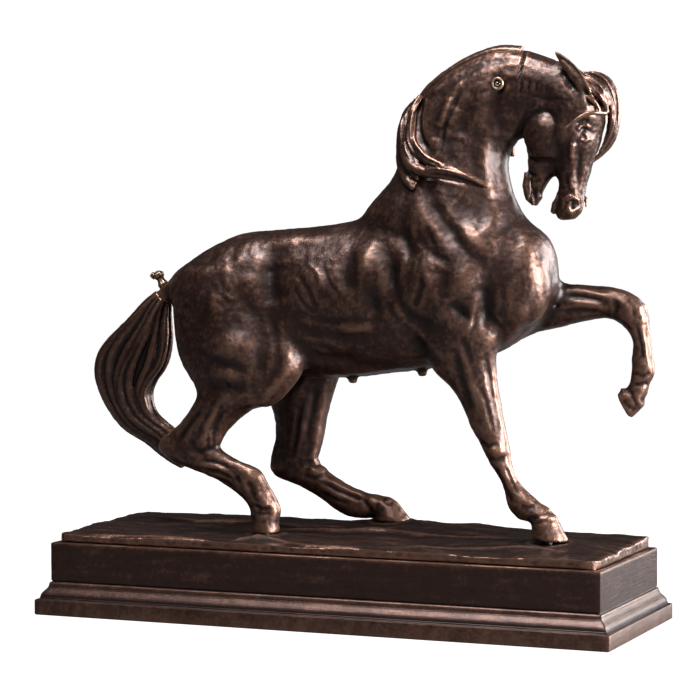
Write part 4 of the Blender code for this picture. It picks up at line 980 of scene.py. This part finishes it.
class StatueSizes(bpy.types.PropertyGroup):
    surface: bpy.props.FloatProperty(
        name="Surface detail", description="Spacing of the points on the figure, in millimetres",
        default=0.72, min=0.4, max=3)
    head: bpy.props.FloatProperty(
        name="Head detail", description="Spacing of the points on the head, in millimetres",
        default=0.42, min=0.3, max=3)
    hair: bpy.props.FloatProperty(
        name="Hair detail", description="Spacing of the points on the hair, in millimetres",
        default=0.56, min=0.4, max=3)
    ground: bpy.props.FloatProperty(
        name="Ground detail", description="Spacing of the points on the ground slab, in millimetres",
        default=0.95, min=0.5, max=3)
    handwork: bpy.props.FloatProperty(
        name="Handwork", description="Depth of the modeller's touches", default=1.0, min=0, max=3)


class StatueColours(bpy.types.PropertyGroup):
    body: bpy.props.FloatVectorProperty(
        name="Patina", description="Brown of the patina", subtype="COLOR", size=3,
        default=(0.040, 0.0185, 0.0145), min=0, max=1)
    rubbed: bpy.props.FloatVectorProperty(
        name="Rubbed metal", description="Colour where the patina is worn", subtype="COLOR", size=3,
        default=(0.19, 0.098, 0.066), min=0, max=1)


class STATUE_OT_figure(bpy.types.Operator):
    """Models the horse's body, head and legs and parts them at their joints"""
    bl_idname = "statue.figure"
    bl_label = "Body, head and legs"

    def execute(self, context):
        sizes = context.scene.statue_sizes
        nodes = ("torso", "head", *LEGS, *(f"{leg}_pin" for leg in LEGS),
                 "belly_plug_front", "belly_plug_rear")
        copies = [copy_of(node, f"{node}_copy") for node in nodes]
        for obj in copies:
            inflate(obj, 0.3)
        shell = join([*copies, add_strands("raised_hoof_pads", HOOF_PADS)], "figure_shell")
        voxel_remesh(shell, sizes.surface)
        shell = keep_largest(shell)
        inflate(shell, -0.3)
        smooth_out(shell, 14)
        ease(shell, (-95, -40, 128), (100, 40, 215), 45)
        ease(shell, (0, -40, 160), (108, 40, 228), 90)
        ease(shell, (30, -40, 198), (87, 40, 256), 90)
        head = duplicate(shell, "head_core")
        boolean(head, joint_block("head", 4), "INTERSECT")
        ears = [strand for root, tip, side in EARS for strand in ear_strands(root, tip, side)]
        lips = [[(x, side * y, z, radius) for x, y, z, radius in lip] for lip in LIPS for side in (1, -1)]
        head = join([head, add_strands("ears", ears), add_strands("lips", lips)], "head_casting")
        voxel_remesh(head, sizes.head)
        head = keep_largest(head)
        smooth_out(head, 3)
        sculpt(head, sizes.handwork)
        write_relief(head, rounds=(8, 90))
        # Painted shade in the closed-in places of the head
        write_painted_shade(head)
        fine_head = duplicate(head, "fine_head")
        boolean(head, joint_block("head", 0), "INTERSECT")
        carry_relief_and_shade(head, fine_head)
        bpy.data.objects.remove(fine_head)
        sculpt(shell, sizes.handwork)
        write_relief(shell)
        # Painted shade deep between the limbs and under the body
        write_painted_shade(shell)
        metal = material_of(context, "figure_bronze")
        torso = duplicate(shell, "body_bronze_casting")
        for name in JOINTS:
            boolean(torso, joint_block(name, 0.1 if name == "head" else 0), "DIFFERENCE")
        torso = keep_largest(torso)
        carry_relief_and_shade(torso, shell)
        finish_piece(torso, metal, "body_bronze", "torso", "belly_plug_front", "belly_plug_rear")
        for leg in LEGS:
            piece = duplicate(shell, f"{leg}_casting")
            boolean(piece, joint_block(leg, 0), "INTERSECT")
            piece = keep_largest(piece)
            carry_relief_and_shade(piece, shell)
            finish_piece(piece, metal, "body_bronze", leg, f"{leg}_pin")
        finish_piece(head, metal, "body_bronze", "head")
        bpy.data.objects.remove(shell)
        return {"FINISHED"}


class STATUE_OT_hair(bpy.types.Operator):
    """Models the mane, its near lock, the forelock and the tail from strands"""
    bl_idname = "statue.hair"
    bl_label = "Mane, forelock and tail"

    def execute(self, context):
        sizes = context.scene.statue_sizes
        near = [s for k, lock in enumerate(NEAR_TRESSES) for s in twisted_lock(lock, 5, 2.8, 0.72, 0.4, k)]
        mane = twisted_lock(CREST, 7, 1.2, spread=0.5)
        mane += [s for k, lock in enumerate(FAR_LOCKS) for s in twisted_lock(lock, 7, 2.0, phase=k)]
        groups = (
            ("mane_casting", "mane", mane, 0.5),
            ("mane_lock_casting", "mane_lock", near, 0.5),
            ("forelock_casting", "forelock", [s for k, lock in enumerate(FORE_TRESSES)
                                             for s in twisted_lock(lock, 5, 2.4, 0.7, 0.42, k)], 1.2),
            ("tail_casting", "tail", tail_strands(), 0.6),
        )
        for name, node, strands, sink in groups:
            core = copy_of(node, f"{node}_core")
            inflate(core, -sink)
            obj = join([add_strands(f"{node}_strands", strands), core], name)
            voxel_remesh(obj, sizes.hair)
            obj = keep_largest(obj)
            smooth_out(obj, 1)
            points, normals = points_of(obj), normals_of(obj)
            set_points(obj, points + normals * (0.12 * noise_field(points, 2.2, 4))[:, None])
            write_relief(obj, fine_size=0.22, broad_size=0.9, rounds=(6, 40))
            # Painted shade where the strands close in on one another
            write_painted_shade(obj, reach=12.0, directions=16)
            finish_piece(obj, material_of(context, "hair_patina"), "hair_bronze", node)
        return {"FINISHED"}


def ring_profile():
    """The plinth's outline as (inset, height), from the outer foot up and down the inside."""
    outer = [(0.5, 0), (0, 0.5), (0, 7.1), (0.15, 7.5), (0.6, 7.8), (1.5, 7.85), (1.9, 8.15), (1.9, 8.6)]
    for k in range(9):
        t = k / 8
        outer.append((2.1 + 3.3 * (t - sin(2 * pi * t) / (2 * pi) * 0.85), 8.8 + 6.5 * t))
    outer += [(5.5, 15.7), (5.9, 16.1), (6.5, 16.25), (6.6, 16.6), (6.2, 16.9), (6.2, 17.8)]
    outer += [(6.2, 18.6 + 1.2 * k) for k in range(13)]
    outer += [(6.2, 34.2), (6.2, 35.2), (6.35, 35.7), (6.8, 36)]
    return outer, [(9.4, 32.8), (9.4, 16), (3.2, 8), (3.2, 0)]


def add_plinth(name):
    """A hollow moulded plinth, from rounded rectangles laid one on another."""
    outer, inner = ring_profile()
    half_x, half_y = PLINTH_HALF
    long_cuts, short_cuts, corner_cuts = 90, 34, 3

    def loop(inset, height):
        a, b, radius = half_x - inset, half_y - inset, 0.8
        out = []
        for cx, cy, start in ((a, -b, -90), (a, b, 0), (-a, b, 90), (-a, -b, 180)):
            sx, sy = (1 if cx > 0 else -1), (1 if cy > 0 else -1)
            for k in range(corner_cuts):
                angle = radians(start + 90 * k / (corner_cuts - 1))
                out.append((cx - sx * radius + radius * cos(angle),
                            cy - sy * radius + radius * sin(angle), height))
            cuts = short_cuts if (cx > 0) == (cy < 0) else long_cuts
            following = {-90: (a, b), 0: (-a, b), 90: (-a, -b), 180: (a, -b)}[start]
            x0, y0 = out[-1][:2]
            fx, fy = following
            end = (x0, fy - (1 if fy > 0 else -1) * radius) if cuts == short_cuts \
                else (fx - (1 if fx > 0 else -1) * radius, y0)
            for k in range(1, cuts):
                t = k / cuts
                out.append((x0 + (end[0] - x0) * t, y0 + (end[1] - y0) * t, height))
        return out

    rings = [loop(inset, height) for inset, height in outer]
    under = [loop(inset, height) for inset, height in inner]
    count = len(rings[0])
    points = [p for ring in rings + under for p in ring]
    faces = []
    for r in range(len(rings) - 1):
        faces += [(r * count + k, r * count + (k + 1) % count, (r + 1) * count + (k + 1) % count,
                   (r + 1) * count + k) for k in range(count)]
    top = (len(rings) - 1) * count
    faces.append(tuple(range(top, top + count)))
    base = len(rings) * count
    faces.append(tuple(reversed(range(base, base + count))))
    for r in range(len(under) - 1):
        start = base + r * count
        faces += [(start + k, start + (k + 1) % count, start + count + (k + 1) % count, start + count + k)
                  for k in range(count)]
    last = base + (len(under) - 1) * count
    faces += [(last + k, last + (k + 1) % count, (k + 1) % count, k) for k in range(count)]
    mesh = bpy.data.meshes.new(name)
    mesh.from_pydata([place(*p) for p in points], [], faces)
    obj = bpy.data.objects.new(name, mesh)
    bpy.context.scene.collection.objects.link(obj)
    make_active(obj)
    bpy.ops.object.mode_set(mode="EDIT")
    bpy.ops.mesh.select_all(action="SELECT")
    bpy.ops.mesh.normals_make_consistent(inside=False)
    bpy.ops.object.mode_set(mode="OBJECT")
    return obj


class STATUE_OT_plinth(bpy.types.Operator):
    """Models the hollow moulded plinth with its worn edges"""
    bl_idname = "statue.plinth"
    bl_label = "Plinth"

    def execute(self, context):
        obj = add_plinth("plinth_casting")
        points, normals = points_of(obj), normals_of(obj)
        wave = 0.16 * noise_field(points, 22, 5) + 0.07 * noise_field(points, 5, 6)
        moved = points + normals * wave[:, None]
        moved[points[:, 2] < 0.6, 2] = points[points[:, 2] < 0.6, 2]
        moved[np.abs(points[:, 2] - 36) < 0.1, 2] = 36
        set_points(obj, moved)
        heights = points[:, 2]
        edge = np.zeros(len(points))
        for level, width in ((7.6, 0.7), (15.7, 0.9), (35.7, 0.8), (0.4, 0.5)):
            edge = np.maximum(edge, np.exp(-((heights - level) / width) ** 2))
        edge -= 1.5 * np.exp(-((heights - 8.3) / 0.6) ** 2) + 1.4 * np.exp(-((heights - 16.6) / 0.6) ** 2)
        tan = np.exp(-((heights - 12.5) / 2.6) ** 2)
        streaks = noise_field(points * np.array((0.12, 0.12, 1)), 2.4, 15)
        frieze = step(16.9, 18, heights) * step(-35.4, -34, -heights)
        edge = edge + frieze * (0.45 * streaks + 0.12)
        chips = noise_field(points, 2.5, 7) + 0.6 * noise_field(points, 9, 12)
        for name, values in (("crease", 0.5 + 0.42 * edge * (1 + 0.7 * chips)), ("swell", 0.42 + 0.25 * tan),
                             ("shade", np.ones(len(points)))):
            layer = obj.data.attributes.new(name, "FLOAT", "POINT")
            layer.data.foreach_set("value", values)
        finish_piece(obj, material_of(context, "plinth_bronze"), "base_bronze", "plinth", angle=32)
        return {"FINISHED"}


class STATUE_OT_ground(bpy.types.Operator):
    """Models the ground slab with its ripples, dips and raised edges"""
    bl_idname = "statue.ground"
    bl_label = "Ground slab"

    def execute(self, context):
        sizes = context.scene.statue_sizes
        obj = copy_of("terrace", "terrace_casting")
        voxel_remesh(obj, sizes.ground)
        obj = keep_largest(obj)
        smooth_out(obj, 3)
        points, normals = points_of(obj), normals_of(obj)
        top = step(0.1, 0.6, normals[:, 2]) * step(37.5, 39, points[:, 2])
        along = np.column_stack([points[:, 0] * 0.45, points[:, 1], points[:, 2]])
        rise = 1.1 * noise_field(along, 17, 8) + 0.45 * noise_field(along, 6, 9)
        rise += 0.16 * noise_field(points, 1.8, 10)
        ripple = np.sin(points[:, 1] * 0.55 + points[:, 0] * 0.05 + 3 * noise_field(along, 24, 11))
        rise += 0.12 * ripple
        for fold in GROUND_FOLDS:
            gap, along_fold = line_distance(points[:, :2], fold)
            rise += (1.3 * np.exp(-(gap / 1.9) ** 2)
                     * step(0, 0.15, along_fold) * step(0, 0.15, 1 - along_fold))
        for x, y, radius in HOOF_PRINTS:
            gap = np.hypot(points[:, 0] - x, points[:, 1] - y)
            rise += 0.9 * np.exp(-((gap - radius) / 2.2) ** 2)
        points = points + np.array((0, 0, 1)) * (rise * top)[:, None]
        half = np.array(PLINTH_HALF) - 8.4
        over = np.maximum(np.abs(points[:, :2]) - (half - 7), 0)
        reach = np.linalg.norm(over, axis=1)
        corner = (over > 0).all(1) & (reach > 7)
        over[corner] *= (7 / reach[corner])[:, None]
        ragged = 0.5 * noise_field(points, 9, 13) + 0.3 * noise_field(points, 3, 14) - 0.3
        over += np.where(over > 5.5, np.minimum(ragged, 0.4)[:, None], 0)
        rim = np.abs(points[:, :2]) > half - 7
        points[:, :2] = np.where(rim, np.sign(points[:, :2]) * (half - 7 + over), points[:, :2])
        set_points(obj, points)
        write_relief(obj, fine_size=0.2, broad_size=1.0, rounds=(4, 40))
        # Painted shade: the ground goes darker round each standing hoof, as if in the hooves' shadow
        layer = obj.data.attributes.new("shade", "FLOAT", "POINT")
        gap = [np.hypot(points[:, 0] - x, points[:, 1] - y) for x, y, radius in HOOF_PRINTS]
        layer.data.foreach_set("value", 1 - 0.75 * np.exp(-(np.min(gap, 0) / 13) ** 2))
        finish_piece(obj, material_of(context, "ground_bronze"), "base_bronze", "terrace")
        return {"FINISHED"}


class STATUE_OT_rivets(bpy.types.Operator):
    """Models the round pin at the poll and the boss that holds the tail"""
    bl_idname = "statue.rivets"
    bl_label = "Poll pin and tail boss"

    def execute(self, context):
        metal = material_of(context, "rivet_bronze")
        low, high = ((Vector(c) - ORIGIN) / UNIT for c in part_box("head_pin"))
        x, z, face = (low.x + high.x) / 2, (low.z + high.z) / 2, low.y
        turns = np.linspace(0, 2 * pi, 25)
        ring = [(x + 2.5 * cos(a), face + 0.5, z + 2.5 * sin(a), 0.75) for a in turns]
        swirl = [(x + (0.3 + 0.2 * a) * cos(a + 1), face + 0.3, z + (0.3 + 0.2 * a) * sin(a + 1), 0.5)
                 for a in np.linspace(0, 1.7 * pi, 16)]
        shank = [(x, y, z, radius)
                 for y, radius in ((high.y, 1.2), (face + 3, 1.5), (face + 2, 3), (face + 0.9, 3))]
        low, high = ((Vector(c) - ORIGIN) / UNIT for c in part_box("tail_pin"))
        foot = np.array((high.x - 0.6, 0, low.z + 1.5))
        top = np.array((low.x + 2.5, 0, high.z - 2.2))
        boss = [(*(foot + (top - foot) * t), r)
                for t, r in ((0, 1.2), (0.2, 2.6), (0.45, 3.0), (0.6, 2.2), (0.76, 2.0),
                             (0.88, 3.0), (1.0, 3.1), (1.1, 2.2), (1.18, 0.9))]
        side = [(*(top + np.array(o)), r) for o, r in (((-1.4, -0.8, 0), 1.9), ((-3.2, -1.0, -1.6), 1.6))]
        for name, node, strands in (("poll_pin", "head_pin", [ring, swirl, shank]),
                                    ("tail_boss", "tail_pin", [boss, side])):
            obj = add_strands(name, strands)
            voxel_remesh(obj, 0.22)
            obj = keep_largest(obj)
            smooth_out(obj, 2)
            write_relief(obj, fine_size=0.12, broad_size=0.3, rounds=(6, 30))
            layer = obj.data.attributes.new("shade", "FLOAT", "POINT")
            layer.data.foreach_set("value", np.ones(len(obj.data.vertices)))
            finish_piece(obj, metal, "pin_brass", node)
        return {"FINISHED"}


class STATUE_OT_fixings(bpy.types.Operator):
    """Gives the studs, nuts, washers and screws their metal"""
    bl_idname = "statue.fixings"
    bl_label = "Pins and fixings"

    def execute(self, context):
        for name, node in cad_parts.items():
            if name.endswith(("stud", "washer", "nut", "screw")):
                metal = material_of(context, "fixing_steel")
            else:
                continue
            node.data.materials.clear()
            node.data.materials.append(metal)
        return {"FINISHED"}


class STATUE_OT_stage(bpy.types.Operator):
    """Sets the floor, the soft studio lights and the camera"""
    bl_idname = "statue.stage"
    bl_label = "Floor, lights and camera"

    def execute(self, context):
        scene = context.scene
        deselect()
        bpy.ops.mesh.primitive_plane_add(size=14, location=(0, 0, ORIGIN.z - 0.0002))
        floor = context.object
        floor.name = "floor"
        paper = bpy.data.materials.new("pale_paper")
        paper.use_nodes = True
        shader = paper.node_tree.nodes["Principled BSDF"]
        shader.inputs["Base Color"].default_value = (0.1, 0.1, 0.1, 1)
        shader.inputs["Roughness"].default_value = 0.9
        shader.inputs["Specular IOR Level"].default_value = 0.1
        shader.inputs["Emission Color"].default_value = (1, 1, 1, 1)
        seen = paper.node_tree.nodes.new("ShaderNodeLightPath")
        link(paper.node_tree, maths(paper.node_tree, "MULTIPLY", seen.outputs["Is Camera Ray"], 1.0),
             shader.inputs["Emission Strength"])
        floor.data.materials.append(paper)
        world = bpy.data.worlds.new("studio")
        scene.world = world
        world.use_nodes = True
        tree = world.node_tree
        backdrop = tree.nodes["Background"]
        backdrop.inputs["Color"].default_value = (1, 1, 1, 1)
        rays = tree.nodes.new("ShaderNodeLightPath")
        strength = maths(tree, "ADD", maths(tree, "MULTIPLY", rays.outputs["Is Camera Ray"], 1.0), 0.03)
        link(tree, strength, backdrop.inputs["Strength"])
        for name, spot, size, power in (
                ("key", (1.4, -0.2, 0.45), 0.9, 80), ("top", (-0.15, -0.4, 1.4), 0.6, 32),
                ("fill", (0.1, -1.15, 1.15), 0.7, 5),
                ("rim", (1.0, 1.15, 0.42), 0.9, 26)):
            light = bpy.data.lights.new(name, "AREA")
            light.shape = "SQUARE"
            light.size = size
            light.energy = power
            lamp = bpy.data.objects.new(name, light)
            lamp.location = spot
            aim = Vector((0.02, 0, 0.15)) - Vector(spot)
            lamp.rotation_euler = aim.to_track_quat("-Z", "Y").to_euler()
            scene.collection.objects.link(lamp)
        camera = bpy.data.cameras.new("camera")
        camera.lens = 132.8
        camera.sensor_width = 36
        eye = bpy.data.objects.new("camera", camera)
        eye.location = ORIGIN + Vector((0.4865, -1.1863, 0.1983)) * (UNIT / 0.001)
        eye.rotation_euler = (radians(90 - 2.90), 0, radians(22.34))
        scene.collection.objects.link(eye)
        scene.camera = eye
        scene.view_settings.view_transform = "Standard"
        return {"FINISHED"}


OPERATORS = (STATUE_OT_figure, STATUE_OT_hair, STATUE_OT_plinth, STATUE_OT_ground, STATUE_OT_rivets,
             STATUE_OT_fixings, STATUE_OT_stage)


class STATUE_PT_panel(bpy.types.Panel):
    bl_label = "Bronze horse statue"
    bl_idname = "STATUE_PT_panel"
    bl_space_type = "VIEW_3D"
    bl_region_type = "UI"
    bl_category = "Statue"

    def draw(self, context):
        layout = self.layout
        for name in ("surface", "head", "hair", "ground", "handwork"):
            layout.prop(context.scene.statue_sizes, name)
        for name in ("body", "rubbed"):
            layout.prop(context.scene.statue_colours, name)
        for operator in OPERATORS:
            layout.operator(operator.bl_idname)


CLASSES = (StatueSizes, StatueColours, *OPERATORS, STATUE_PT_panel)


def register():
    for cls in CLASSES:
        bpy.utils.register_class(cls)
    bpy.types.Scene.statue_sizes = bpy.props.PointerProperty(type=StatueSizes)
    bpy.types.Scene.statue_colours = bpy.props.PointerProperty(type=StatueColours)


def unregister():
    del bpy.types.Scene.statue_sizes
    del bpy.types.Scene.statue_colours
    for cls in reversed(CLASSES):
        bpy.utils.unregister_class(cls)


def main():
    register()
    deselect()
    bpy.ops.statue.stage()
    bpy.ops.statue.figure()
    bpy.ops.statue.hair()
    bpy.ops.statue.plinth()
    bpy.ops.statue.ground()
    bpy.ops.statue.rivets()
    bpy.ops.statue.fixings()


if __name__ == "__main__":
    main()
